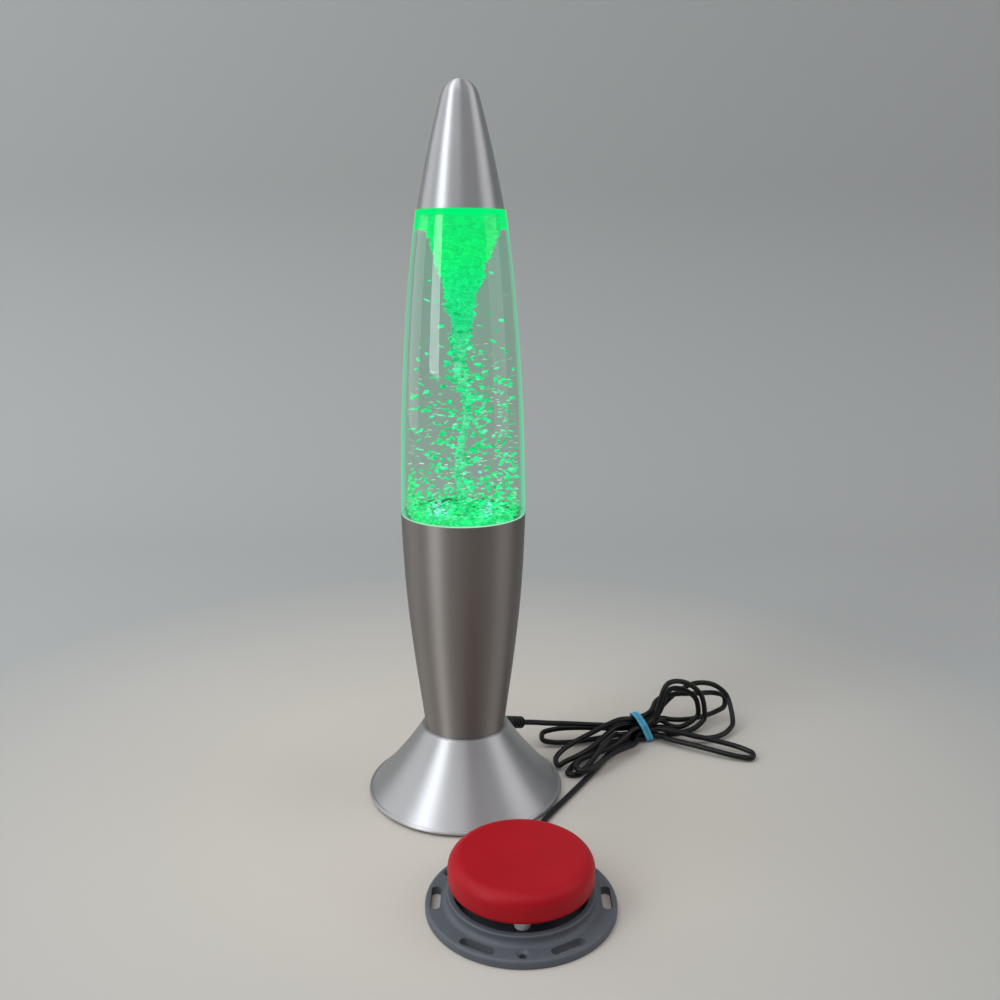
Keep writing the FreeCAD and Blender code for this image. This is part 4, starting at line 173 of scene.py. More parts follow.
class Finish:
    """A material under way: one shader, and short ways to hang patterns on it."""

    def __init__(self, name, colour, roughness, metallic=0.0, **sockets):
        self.material = bpy.data.materials.new(name)
        self.material.use_nodes = True
        self.tree = self.material.node_tree
        self.shader = self.tree.nodes["Principled BSDF"]
        self.colour = tuple(colour)
        self.roughness = roughness
        self.place = None
        self.set(Base_Color=rgba(colour), Roughness=roughness, Metallic=metallic, **sockets)

    def set(self, **sockets):
        """Gives the shader's sockets values or patterns."""
        for name, value in sockets.items():
            plug(self.tree, value, self.shader.inputs[name.replace("_", " ")])
        return self

    def replace(self, surface):
        """Puts another surface in the shader's place."""
        plug(self.tree, surface, self.tree.nodes["Material Output"].inputs["Surface"])
        self.tree.nodes.remove(self.shader)
        return self

    def node(self, kind, inputs, output=0, **settings):
        return add_node(self.tree, kind, inputs, **settings).outputs[output]

    def where(self, stretch=(1, 1, 1)):
        """Object coordinates, stretched."""
        if self.place is None:
            self.place = self.node("ShaderNodeTexCoord", {}, "Object")
        if stretch == (1, 1, 1):
            return self.place
        return self.node("ShaderNodeMapping", {"Vector": self.place, "Scale": stretch})

    def height(self):
        return self.node("ShaderNodeSeparateXYZ", {"Vector": self.where()}, "Z")

    def noise(self, scale, detail=3.0, stretch=(1, 1, 1), rough=0.5):
        inputs = {"Vector": self.where(stretch), "Scale": scale, "Detail": detail, "Roughness": rough}
        return self.node("ShaderNodeTexNoise", inputs, "Fac")

    def spread(self, fac, start, end, low=0.0, high=1.0):
        """Takes fac from start to end over to low to high, and stays there past the ends."""
        inputs = {"Value": fac, "From Min": start, "From Max": end, "To Min": low, "To Max": high}
        return self.node("ShaderNodeMapRange", inputs, "Result")

    def reckon(self, operation, first, second):
        return self.node("ShaderNodeMath", {0: first, 1: second}, operation=operation)

    def product(self, first, second):
        return self.reckon("MULTIPLY", first, second)

    def larger(self, first, second):
        return self.reckon("MAXIMUM", first, second)

    def mean(self, first, second, share):
        """Two patterns as one, in which the first has this share of the weight."""
        return self.reckon("ADD", self.product(first, share), self.product(second, 1 - share))

    def blend(self, fac, low, high, kind="MIX"):
        inputs = {"Factor": fac, 6: rgba(low), 7: rgba(high)}
        return self.node("ShaderNodeMix", inputs, 2, data_type="RGBA", blend_type=kind)

    def times(self, first, second):
        return self.blend(1.0, first, second, "MULTIPLY")

    def ramp(self, fac, stops):
        """A colour or a value that follows fac through (place, colour or value) stops."""
        low, high = stops[0][0], stops[-1][0]
        made = add_node(self.tree, "ShaderNodeValToRGB", {"Fac": self.spread(fac, low, high)})
        points = made.color_ramp.elements
        for place, value in stops:
            if place in (low, high):
                point = points[0 if place == low else len(points) - 1]
            else:
                point = points.new((place - low) / (high - low))
            point.color = rgba(value if isinstance(value, tuple) else (value,) * 3)
        return made.outputs["Color"]

    def by_height(self, stops):
        return self.ramp(self.height(), stops)

    def clear(self, tint):
        return self.node("ShaderNodeBsdfTransparent", {"Color": rgba(tint)})

    def light(self, colour):
        return self.node("ShaderNodeEmission", {"Color": rgba(colour), "Strength": 1.0})

    def over(self, share, under, top):
        """One surface with a share of another laid over it."""
        return self.node("ShaderNodeMixShader", {"Fac": share, 1: under, 2: top})

    def shine(self, colour, strength):
        """The same pattern as base colour, darkened, and as its own light: a painted glow, for a piece that
        is no lamp.
        """
        dark = self.times(colour, LIT_BASE)
        return self.set(Base_Color=dark, Emission_Color=rgba(colour), Emission_Strength=strength)

    def tint(self, fac, low, high):
        """Colour from low to high shades of the base colour."""
        dark = tuple(low * c for c in self.colour)
        light = tuple(min(1.0, high * c) for c in self.colour)
        return self.set(Base_Color=self.blend(fac, dark, light))

    def polish(self, fac, low, high):
        """Roughness from low to high."""
        return self.set(Roughness=self.spread(fac, 0, 1, low, high))

    def bump(self, height, depth):
        inputs = {"Height": height, "Strength": 1.0, "Distance": depth}
        return self.set(Normal=self.node("ShaderNodeBump", inputs, "Normal"))

    def worn(self, scale, shade=0.12, gloss=0.06, depth=0.02 * MM):
        """Fine grain, with broad uneven patches in the colour and the gloss."""
        grain = self.noise(scale, 2.0)
        patch = self.noise(scale / 18, 3.0)
        self.tint(self.spread(self.mean(grain, patch, 0.5), 0.3, 0.7), 1 - shade, 1 + shade)
        self.polish(patch, max(0.02, self.roughness - gloss), min(1.0, self.roughness + gloss))
        return self.bump(grain, depth)


def dress(names, *finishes):
    """Gives each CAD node its material, or one material for each kind of face."""
    for name in names.split():
        mesh = NODES[name].data
        mesh.materials.clear()
        for finish in finishes:
            mesh.materials.append(finish.material)


def dress_sides(name, outside, inside):
    """One finish for a turned shell's faces that look away from the axis, another for the rest."""
    dress(name, outside, inside)
    for face in NODES[name].data.polygons:
        away = face.normal.x * face.center.x + face.normal.y * face.center.y
        face.material_index = 0 if away > 0 else 1


def moulded(name, colour, roughness=0.5, scale=2600.0):
    return Finish(name, colour, roughness).worn(scale)


def rubber(name, colour, roughness=0.6):
    return Finish(name, colour, roughness, Specular_IOR_Level=0.4).worn(1800.0, 0.15, 0.08, 0.03 * MM)


def plain_metal(name, colour, roughness=0.3):
    return Finish(name, colour, roughness, 1.0).worn(2200.0, 0.08, 0.08, 0.01 * MM)


# Cord route, in millimetres

TIE_CENTRE = (100.0, 53.5, 8.6)
TIE_TURN = 22.0
TIE_TILT = 5.0
STRAND_PITCH = 3.75
STRAND_REACH = 6.5
STRAND_SLOTS = ((2, 2), (2, 0), (2, 1), (1, 3), (1, 2), (1, 1), (1, 0), (0, 2), (0, 1), (0, 0))
STRAND_CLEARANCE = 3.72
CORD_FLOOR = 1.65
CORD_CONE_CLEARANCE = 52.3
SETTLE_ROUNDS = 150
SETTLE_NEIGHBOURS = 6
SETTLE_PUSH = 0.6
SETTLE_OWN_SHARE = 0.6
SETTLE_SIDE_SHARE = 0.25
SETTLE_TOLERANCE = 0.03
LOOPS = (
    ((157.0, 76.0, 6.5), (0, 7, 18), (2, -22, -4), 0.62),
    ((40.0, 45.5, 5.5), (0, -4, -3), (0, 3, 3), 0.7),
    ((156.0, 84.0, 9.0), (0, -2, -6), (0, 3, 10), 0.42),
    ((47.5, 15.5, 1.7), (-4, 6, 3), (3, -3, 0), 0.7),
    ((136.5, 67.0, 12.0), (-4, 2, 17), (0, 1, -8), 0.45),
    ((55.5, 7.2, 1.8), (-7, 3, 0), (2, -2, 0), 0.65),
    ((140.0, 66.0, 12.0), (0, -3, -10), (-5, 0, 24), 0.42),
    ((60.5, 5.2, 4.5), (-6, 2, 0), (3, -3, 1), 0.7),
    ((160.5, 27.5, 1.9), (2, 5, 1), (-2, -5, 0), 0.7),
)
LOOP_STATIONS = (0.13, 0.32, 0.54, 0.76, 0.9, 0.965)
LAMP_LEAD = (
    (35.5, 34.7, 19.7), (45.0, 40.0, 16.4), (57.8, 44.5, 13.9), (72.4, 48.5, 11.2), (84.0, 51.3, 9.5),
)
SWITCH_LEAD = (
    (90.0, 44.4, 1.65), (83.0, 38.5, 1.6), (77.2, 29.5, 1.6), (72.6, 20.0, 1.6), (67.5, 10.3, 1.6),
    (62.0, 1.0, 1.6), (56.9, -7.5, 1.6), (52.0, -15.6, 1.6), (47.3, -23.4, 1.6), (40.5, -35.0, 1.6),
    (35.4, -47.0, 1.6),
)
RELIEF_ANGLE = 45.0
RELIEF_DROOP = 20.0
RELIEF_HEIGHT = 28.0
RELIEF_START = 25.5
RELIEF_LENGTH = 17.6
SWITCH_CENTRE = (27.2, -101.8)
SWITCH_CORD_ANGLE = 82.0
SWITCH_CORD_HEIGHT = 5.5
FLANGE_RADIUS = 41.4
FLANGE_CLEARANCE = 2.0
GROMMET_FACE = 34.5


def along(start, step, amount=1.0):
    return tuple(a + amount * b for a, b in zip(start, step))


def dot(a, b):
    return sum(x * y for x, y in zip(a, b))


def strand_point(column, row, reach):
    """A point on one strand in the tie, so far along it from the tie's middle."""
    turn, tilt = math.radians(TIE_TURN), math.radians(TIE_TILT)
    axis = (math.cos(turn) * math.cos(tilt), math.sin(turn) * math.cos(tilt), math.sin(tilt))
    across = (-math.sin(turn), math.cos(turn), 0.0)
    up = (-math.cos(turn) * math.sin(tilt), -math.sin(turn) * math.sin(tilt), math.cos(tilt))
    point = along(TIE_CENTRE, across, (column - 1) * STRAND_PITCH)
    point = along(point, up, (row - 1.5) * STRAND_PITCH)
    return along(point, axis, reach)


def bulge_at(station, widest):
    """Share of a loop's bulge at a station between the tie (0) and the tip (1)."""
    if station < widest:
        return math.sin(math.pi / 2 * station / widest) ** (1.0 if widest < 0.55 else 1.5)
    return math.sqrt(1 - ((station - widest) / (1 - widest)) ** 2)


def loop_side(start, mouth, tip, bulge, widest):
    points = []
    for station in LOOP_STATIONS:
        point = along(mouth, along(tip, mouth, -1), station)
        point = along(point, along(start, mouth, -1), max(0.0, 1 - 2 * station))
        points.append(along(point, bulge, bulge_at(station, widest)))
    return points


def cord_ends():
    """Where the cord leaves the strain relief, and where it goes over the flange and into the switch."""
    angle, droop = math.radians(RELIEF_ANGLE), math.radians(RELIEF_DROOP)
    reach = RELIEF_START + RELIEF_LENGTH * math.cos(droop)
    drop = RELIEF_LENGTH * math.sin(droop)
    tip = (reach * math.cos(angle), reach * math.sin(angle), RELIEF_HEIGHT - drop)
    angle = math.radians(SWITCH_CORD_ANGLE)
    axis = (*SWITCH_CENTRE, SWITCH_CORD_HEIGHT)
    out = (math.cos(angle), math.sin(angle), 0.0)
    return tip, along(axis, out, FLANGE_RADIUS + FLANGE_CLEARANCE), along(axis, out, GROMMET_FACE)


def cord_points():
    """Control points of the cord's whole line."""
    first, over_edge, face = cord_ends()
    points = [first] + list(LAMP_LEAD)
    fixed = set(range(len(points)))
    for i, slot in enumerate(STRAND_SLOTS):
        side = 1 if i % 2 == 0 else -1
        fixed |= {len(points), len(points) + 1}
        points.append(strand_point(*slot, -side * STRAND_REACH))
        points.append(strand_point(*slot, side * STRAND_REACH))
        if i < len(LOOPS):
            tip, out, back, widest = LOOPS[i]
            start = strand_point(*slot, side * STRAND_REACH)
            end = strand_point(*STRAND_SLOTS[i + 1], side * STRAND_REACH)
            mouth = along(start, along(end, start, -1), 0.5)
            points += loop_side(start, mouth, tip, out, widest)
            points += loop_side(end, mouth, tip, back, widest)[::-1]
    fixed |= set(range(len(points), len(points) + len(SWITCH_LEAD)))
    return settled(points + list(SWITCH_LEAD), fixed) + [over_edge, face]


def least_apart(a, b, c, d):
    """Least distance between segments ab and cd, and the unit way from the second to the first."""
    first, second, between = along(b, a, -1), along(d, c, -1), along(a, c, -1)
    ff, fs, ss = dot(first, first), dot(first, second), dot(second, second)
    fb, sb = dot(first, between), dot(second, between)
    spread = ff * ss - fs * fs
    s = 0.5 if spread < 1e-9 else min(1.0, max(0.0, (fs * sb - ss * fb) / spread))
    t = min(1.0, max(0.0, (fs * s + sb) / ss))
    s = min(1.0, max(0.0, (fs * t - fb) / ff))
    way = along(along(between, first, s), second, -t)
    gap = math.hypot(*way)
    return gap, tuple(x / max(gap, 1e-6) for x in way)


def settled(points, fixed):
    """Pushes the loops apart until no two strands touch, and keeps them off the floor and the cone.

    The strands are measured on short straight pieces of the curve that the control points give.
    """
    points = [tuple(point) for point in points]
    last = len(points) - 1
    for _ in range(SETTLE_ROUNDS):
        samples = []
        for i in range(1, last):
            owner = i
            if i in fixed and i + 1 not in fixed:
                owner = i + 1
            elif i in fixed and i - 1 not in fixed:
                owner = i - 1
            before, here, after = points[i - 1 : i + 2]
            # The curve runs through the middle of each side, and past the control point between two sides
            samples.append((owner, along(before, along(here, before, -1), 0.5)))
            near = along(along(before, here, 6), after)
            samples.append((owner, tuple(x / 8 for x in near)))
        pieces = [(i, a, b, math.dist(a, b)) for (i, a), (_, b) in zip(samples, samples[1:])]
        moves = [(0.0, 0.0, 0.0)] * len(points)
        tightest = STRAND_CLEARANCE
        for m, (i, a, b, ab) in enumerate(pieces):
            for j, c, d, cd in pieces[m + SETTLE_NEIGHBOURS :]:
                reach = STRAND_CLEARANCE + ab + cd
                if math.dist(a, c) > reach or (i in fixed and j in fixed):
                    continue
                gap, way = least_apart(a, b, c, d)
                if gap < STRAND_CLEARANCE:
                    tightest = min(tightest, gap)
                    push = SETTLE_PUSH * (STRAND_CLEARANCE - gap)
                    share = 1.0 if i in fixed or j in fixed else 0.5
                    if i not in fixed:
                        moves[i] = along(moves[i], way, push * share)
                    if j not in fixed:
                        moves[j] = along(moves[j], way, -push * share)
        for i in range(1, last):
            if i not in fixed:
                move = tuple(SETTLE_OWN_SHARE * x for x in moves[i])
                for side in (i - 1, i + 1):
                    if side not in fixed:
                        move = along(move, moves[side], SETTLE_SIDE_SHARE)
                x, y, z = along(points[i], move)
                push = max(1.0, CORD_CONE_CLEARANCE / math.hypot(x, y))
                points[i] = (x * push, y * push, max(z, CORD_FLOOR))
        if STRAND_CLEARANCE - tightest < SETTLE_TOLERANCE:
            break
    return points


class LAMP_OT_cord(bpy.types.Operator):
    """Lays the cord on one smooth line from the cone through its tied loops to the switch"""

    bl_idname = "lamp.cord"
    bl_label = "Cord"

    def execute(self, context):
        look = context.scene.cord_look
        points = cord_points()
        curve = bpy.data.curves.new("cord", "CURVE")
        curve.dimensions = "3D"
        curve.bevel_depth = look.width / 2
        curve.bevel_resolution = 3
        curve.resolution_u = 6
        spline = curve.splines.new("NURBS")
        spline.points.add(len(points) - 1)
        for control, point in zip(spline.points, points):
            control.co = (*(x * MM for x in point), 1)
        spline.order_u = 3
        spline.use_endpoint_u = True
        cord = show(context, "cord", curve)
        jacket = Finish("cord jacket", look.jacket, 0.36, Specular_IOR_Level=0.3)
        jacket.worn(900.0, 0.3, 0.1, 0.02 * MM)
        curve.materials.append(jacket.material)
        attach(cord, "stand")
        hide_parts("lamp_lead", "cord_hank", "switch_lead")
        [x * MM for x in points[0]]
        return {"FINISHED"}


class LAMP_OT_cord_fittings(bpy.types.Operator):
    """Rubber of the strain relief, the grommet and the band round the loops"""

    bl_idname = "lamp.cord_fittings"
    bl_label = "Cord fittings"

    def execute(self, context):
        look = context.scene.cord_look
        black = rubber("sleeve rubber", (0.007, 0.007, 0.008), 0.45)
        dress("cord_strain_relief switch_grommet", black)
        band = Finish("band rubber", look.band, 0.42, Subsurface_Weight=0.1, Subsurface_Scale=0.5 * MM)
        band.worn(1500.0, 0.2, 0.08, 0.02 * MM)
        dress("cord_tie", band)
        return {"FINISHED"}


# Spun metal


def spun_metal(name, colour, roughness, streak):
    """Satin silver on spun metal: fine rings round the axis, sparkle and soft broad patches."""
    metal = Finish(name, colour, roughness, 1.0, Anisotropic=0.9, Anisotropic_Rotation=0.25)
    metal.set(Tangent=metal.node("ShaderNodeTangent", {}, direction_type="RADIAL", axis="Z"))
    rings = metal.noise(1.0, 4.0, (25, 25, 5200), 0.65)
    fine = metal.mean(rings, metal.noise(5200.0, 1.0), streak)
    both = metal.mean(fine, metal.noise(14.0, 2.0), 0.7)
    metal.tint(metal.spread(both, 0.3, 0.7), 0.88, 1.08)
    metal.polish(fine, roughness - 0.07, roughness + 0.07)
    return metal.bump(fine, 0.012 * MM)


class LAMP_OT_spun_shell(bpy.types.Operator):
    """Satin silver of the cone, the sleeve and the cap, with painted shade on the sleeve"""

    bl_idname = "lamp.spun_shell"
    bl_label = "Spun shell"

    def execute(self, context):
        silver = context.scene.lamp_look.silver
        # The sleeve gets a darker, warmer copy of the same silver: painted shade and a painted warm
        # reflection, since all three shells are one metal
        shaded_silver = tuple(c * s for c, s in zip(silver, (0.5, 0.45, 0.41)))
        dress("base_cone", spun_metal("cone silver", silver, 0.5, 0.5))
        dress("body_sleeve", spun_metal("sleeve shaded silver", shaded_silver, 0.55, 0.25))
        dress("top_cap", spun_metal("cap silver", tuple(0.97 * c for c in silver), 0.5, 0.3))
        dress("neck_gasket", rubber("joint rubber", (0.05, 0.05, 0.05)))
        dress("foot_ring", rubber("foot rubber", (0.02, 0.02, 0.02)))
        return {"FINISHED"}


# Bottle and water

GLASS = (0.99, 1.0, 0.99)
GLASS_ROUGHNESS = 0.03
GLASS_IOR = 1.45
GLOSS_GAIN = 1.8

# Shares of painted glow, emission that stands in for the glitter's and the LEDs' light, at heights above the
# floor: in the water, at the bottle's edges, in the seam over the sleeve, and in the collar under the cap
# with the brighter brow at its top
SEAM = SLEEVE_RIM - 0.4 * MM
BROW = SHOULDER - 2.2 * MM
HAZE_SHARES = ((0.138, 0.09), (0.165, 0.045), (0.21, 0.045), (0.283, 0.09))
EDGE_SHARES = ((0.15, 0.9), (0.2, 0.75), (0.25, 0.55), (0.28, 0.6), (0.284, 0.92))
SEAM_SHARES = ((SEAM, 0.0), (SEAM + 0.2 * MM, 0.9), (SEAM + 0.9 * MM, 0.9), (SEAM + 1.6 * MM, 0.0))
COLLAR_SHARES = ((BROW - 7 * MM, 0.0), (BROW - 6 * MM, 1.0), (SHOULDER, 1.0), (SHOULDER + MM, 0.3))
BROW_SHARES = ((BROW - 1.2 * MM, 0.0), (BROW, 0.96), (SHOULDER, 0.96), (SHOULDER + MM, 0.3))


def clear_wall(name, tint, lit=None, share=0.0):
    """Clear wall with a share of painted glow of its own, which may be one number or follow the height."""
    wall = Finish(name, tint, GLASS_ROUGHNESS)
    surface = wall.clear(tint)
    if lit:
        share = wall.by_height(share) if isinstance(share, tuple) else share
        surface = wall.over(share, surface, wall.light(lit))
    return wall.replace(surface)


def bottle_outside(edge, glitter):
    """Outside of the bottle: gloss, and a painted green glow along its silhouette, its seam and its shoulder.
    """
    wall = Finish("bottle outside", GLASS, GLASS_ROUGHNESS)
    gloss = wall.node("ShaderNodeBsdfGlossy", {"Roughness": GLASS_ROUGHNESS})
    fresnel = wall.node("ShaderNodeFresnel", {"IOR": GLASS_IOR})
    near_side = wall.reckon("SUBTRACT", 1.0, wall.node("ShaderNodeNewGeometry", {}, "Backfacing"))
    share = wall.product(fresnel, wall.product(near_side, GLOSS_GAIN))
    surface = wall.over(share, wall.clear(GLASS), gloss)
    facing = wall.node("ShaderNodeLayerWeight", {"Blend": 0.5}, "Facing")
    collar = wall.by_height(COLLAR_SHARES)
    band = wall.spread(wall.reckon("ADD", facing, wall.product(collar, 0.22)), 0.6, 0.8)
    band = wall.product(band, wall.by_height(EDGE_SHARES))
    seam = wall.product(wall.by_height(SEAM_SHARES), near_side)
    # Painted highlight: a pale line of glow right at the silhouette, and in the seam
    line = wall.spread(facing, 0.8, 0.9, 0, 0.4)
    pale = tuple(0.45 + 0.55 * c for c in edge)
    colour = wall.blend(wall.larger(line, seam), wall.blend(collar, edge, glitter), pale)
    share = wall.larger(wall.larger(band, seam), wall.by_height(BROW_SHARES))
    return wall.replace(wall.over(share, surface, wall.light(colour)))


class LAMP_OT_bottle(bpy.types.Operator):
    """Clear bottle, the water in it, and its stopper"""

    bl_idname = "lamp.bottle"
    bl_label = "Bottle"

    def execute(self, context):
        look = context.scene.lamp_look
        outside = bottle_outside(look.edge, look.glitter)
        dress_sides("bottle", outside, clear_wall("bottle inside", GLASS))
        haze = clear_wall("lit water", (0.89, 0.91, 0.89), look.haze, HAZE_SHARES)
        dress_sides("liquid", haze, clear_wall("clear water", (0.995, 1.0, 0.995)))
        dress("bottle_stopper", moulded("stopper plastic", (0.03, 0.03, 0.03)))
        dress("stopper_seal", rubber("seal rubber", (0.6, 0.6, 0.57)))
        dress("cap_liner", rubber("liner rubber", (0.5, 0.5, 0.48)))
        dress("seat_ring", rubber("seat rubber", (0.08, 0.08, 0.085)))
        return {"FINISHED"}


# Glitter

# Shades of the glitter's painted glow by height, from the bottom of the water to its top
GLITTER_SHADES = (
    (0.132, (0.003, 0.84, 0.22)), (0.155, (0.02, 0.88, 0.3)), (0.168, (0.15, 0.9, 0.45)),
    (0.222, (0.17, 0.9, 0.46)), (0.24, (0.03, 0.9, 0.33)), (0.262, (0.0, 0.97, 0.24)),
    (0.275, (0.0, 1.0, 0.17)), (0.2824, (0.0, 1.0, 0.2)), (0.2831, (0.0, 0.88, 0.18)),
    (0.292, (0.0, 0.88, 0.2)),
)
# Painted glow of the flakes dimmed in patches, more low down: how dark the patches are by height
DEEP_SHADES = ((0.24, (0.55, 0.62, 0.5)), (0.262, (0.85, 0.87, 0.85)))

# Shades of painted glow that the single flakes draw from 0 to 1 by their glint number, the palest as painted
# glints
WHIRL_SHADES = ((0.0, 0.6), (0.3, 0.95), (1.0, 1.1))
TUFT_SHADES = ((0.0, (0.0, 0.6, 0.2)), (1.0, (0.005, 0.92, 0.3)))
LOOSE_SHADES = (
    (0.0, (0.0, 0.7, 0.2)), (0.3, (0.0, 0.96, 0.3)), (0.75, (0.02, 1.0, 0.36)), (1.0, (0.16, 1.0, 0.55)),
)
PALE_SHADES = ((0.0, (0.25, 0.7, 0.42)), (1.0, (0.55, 1.0, 0.75)))
BED_SHADES = (
    (0.0, (0.0, 0.6, 0.14)), (0.25, (0.0, 0.9, 0.22)), (0.8, (0.004, 1.0, 0.27)), (1.0, (0.1, 1.0, 0.45)),
)

# Places in the glitter painted with the LEDs' cold light, as a painted highlight where it comes through, each
# with its reach, and how much less depth counts in that reach, because the bed is seen nearly from its side
COLD_SPOTS = (
    ((-0.0125, 0.005, 0.1478), 7 * MM),
    ((0.0115, 0.01, 0.148), 4.5 * MM),
    ((0.0095, 0.0, 0.17), 4.5 * MM),
)
COLD_DEPTH = 0.3
COLD_LIGHT = (0.3, 1.0, 0.95)

# How the flakes of each piece lie: number per square metre, share of the common radius, scatter, tumble, seed
STREWN = {
    "whirl_flakes": (260000.0, 0.8, 0.45 * MM, 0.8, 0),
    "whirl_tufts": (300000.0, 1.7, 0.8 * MM, 0.45, 20),
    "loose_glitter": (18000.0, 1.5, 1.3 * MM, 0.7, 40),
    "large_flakes": (27000.0, 2.0, 1.0 * MM, 0.5, 50),
    "glitter_streaks": (12000.0, 1.0, 1.4 * MM, 0.12, 60),
    "bed_flakes": (420000.0, 1.2, 0.8 * MM, 0.5, 80),
}
FLAKE_THICKNESS = 0.12 * MM
FLAKE_SIDES = 6
FLAKE_INPUTS = {
    "Surface": "Geometry", "Flakes per square metre": "Float", "Flake radius": "Float",
    "Flake thickness": "Float", "Scatter": "Float", "Tumble": "Float", "Seed": "Int", "Finish": "Material",
}


def lit_flakes(name, look, shades, toned=False, cold=False):
    """Flakes in a painted glow that stands in for the LEDs' light from below, in shades that each flake draws
    by its own number.
    """
    flakes = Finish(name, look.glitter, 0.35, Specular_IOR_Level=0.15)
    number = flakes.node("ShaderNodeAttribute", {}, "Fac", attribute_name="glint")
    colour = flakes.ramp(number, shades)
    if toned:
        colour = flakes.times(colour, flakes.by_height(GLITTER_SHADES))
    if cold:
        near = 0.0
        place = flakes.where((1, COLD_DEPTH, 1))
        for (x, y, z), reach in COLD_SPOTS:
            ends = {0: place, 1: (x, COLD_DEPTH * y, z)}
            away = flakes.node("ShaderNodeVectorMath", ends, "Value", operation="DISTANCE")
            near = flakes.larger(flakes.spread(away, 0.6 * reach, reach, 1, 0), near)
        colour = flakes.blend(flakes.product(near, flakes.spread(number, 0.25, 0.35)), colour, COLD_LIGHT)
    patches = flakes.spread(flakes.noise(230.0, 2.0), 0.38, 0.56)
    shade = flakes.blend(patches, flakes.by_height(DEEP_SHADES), (1.1, 1.1, 1.1))
    return flakes.shine(flakes.times(colour, shade), look.glow)


def flake_tree():
    """Nodes that strew thin flakes over a surface, more where its share attribute is greater."""
    tree = bpy.data.node_groups.new("Strewn flakes", "GeometryNodeTree")
    for name, kind in FLAKE_INPUTS.items():
        tree.interface.new_socket(name, in_out="INPUT", socket_type="NodeSocket" + kind)
    tree.interface.new_socket("Flakes", in_out="OUTPUT", socket_type="NodeSocketGeometry")
    given = tree.nodes.new("NodeGroupInput").outputs
    result = tree.nodes.new("NodeGroupOutput").inputs

    def step(kind, inputs, output=0, **settings):
        return add_node(tree, kind, inputs, **settings).outputs[output]

    def random_vector(low, high, seed):
        return step("FunctionNodeRandomValue", {0: low, 1: high, "Seed": seed}, data_type="FLOAT_VECTOR")

    def scaled(vector, scale):
        return step("ShaderNodeVectorMath", {0: vector, "Scale": scale}, operation="SCALE")

    share = step("GeometryNodeInputNamedAttribute", {"Name": "share"}, "Attribute", data_type="FLOAT")
    density = step("ShaderNodeMath", {0: share, 1: given["Flakes per square metre"]}, operation="MULTIPLY")
    spots = {"Mesh": given["Surface"], "Density": density, "Seed": given["Seed"]}
    points = step("GeometryNodeDistributePointsOnFaces", spots)
    shift = scaled(random_vector((-1, -1, -1), (1, 1, 1), 11), given["Scatter"])
    moved = step("GeometryNodeSetPosition", {"Geometry": points, "Offset": shift})
    size = {"Vertices": FLAKE_SIDES, "Radius": given["Flake radius"], "Depth": given["Flake thickness"]}
    put = {
        "Points": moved,
        "Instance": step("GeometryNodeMeshCylinder", size),
        "Rotation": scaled(random_vector((-1, -1, -3.14), (1, 1, 3.14), 23), given["Tumble"]),
        "Scale": random_vector((0.55, 0.4, 1), (1.15, 0.85, 1), 37),
    }
    flakes = step("GeometryNodeInstanceOnPoints", put)
    number = step("FunctionNodeRandomValue", {"Seed": 53}, 1, data_type="FLOAT")
    glint = {"Geometry": flakes, "Name": "glint", "Value": number}
    kept = step("GeometryNodeStoreNamedAttribute", glint, data_type="FLOAT", domain="INSTANCE")
    real = step("GeometryNodeRealizeInstances", {"Geometry": kept})
    painted = step("GeometryNodeSetMaterial", {"Geometry": real, "Material": given["Finish"]})
    tree.links.new(painted, result["Flakes"])
    return tree


def evenly(low, high, steps):
    """Heights from low to high, in equal steps."""
    return [low + (high - low) * i / steps for i in range(steps + 1)]


def turned_skin(rings, segments, share=lambda height, angle: 1.0):
    """A turned surface whose points hold the share of flakes that falls on them.

    A ring is a height and a radius, and its middle's place where that is off the lamp's axis.
    """
    vertices, faces, shares = [], [], []
    for height, radius, *middle in rings:
        x, y = middle or (0.0, 0.0)
        for k in range(segments):
            angle = 2 * math.pi * k / segments
            vertices.append((x + radius * math.cos(angle), y + radius * math.sin(angle), height))
            shares.append(share(height, angle))
    for low in range(0, segments * (len(rings) - 1), segments):
        for k in range(segments):
            after, high = (k + 1) % segments, low + segments
            faces.append((low + k, low + after, high + after, high + k))
    mesh = bpy.data.meshes.new("skin")
    mesh.from_pydata(vertices, [], faces)
    mesh.attributes.new("share", "FLOAT", "POINT").data.foreach_set("value", shares)
    return mesh


def strew(context, name, body, finish, skins):
    """Strews flakes over some skins, which don't stay, as one plain mesh that rides on a body."""
    look = context.scene.lamp_look
    tree = bpy.data.node_groups.get("Strewn flakes") or flake_tree()
    sockets = {item.name: item.identifier for item in tree.interface.items_tree if item.in_out == "INPUT"}
    per_metre, size, scatter, tumble, seed = STREWN[name]
    joined = bmesh.new()
    for number, skin in enumerate(skins):
        surface = show(context, "skin", skin)
        modifier = surface.modifiers.new("flakes", "NODES")
        modifier.node_group = tree
        modifier[sockets["Flakes per square metre"]] = per_metre
        modifier[sockets["Flake radius"]] = look.flake * size
        modifier[sockets["Flake thickness"]] = FLAKE_THICKNESS
        modifier[sockets["Scatter"]] = scatter
        modifier[sockets["Tumble"]] = tumble
        modifier[sockets["Seed"]] = look.seed + seed + number
        modifier[sockets["Finish"]] = finish.material
        context.view_layer.update()
        graph = context.evaluated_depsgraph_get()
        mesh = bpy.data.meshes.new_from_object(surface.evaluated_get(graph), depsgraph=graph)
        joined.from_mesh(mesh)
        bpy.data.objects.remove(surface)
    result = bpy.data.meshes.new(name)
    joined.to_mesh(result)
    joined.free()
    result.materials.clear()
    result.materials.append(finish.material)
    result.shade_flat()
    piece = show(context, name, result)
    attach(piece, body)


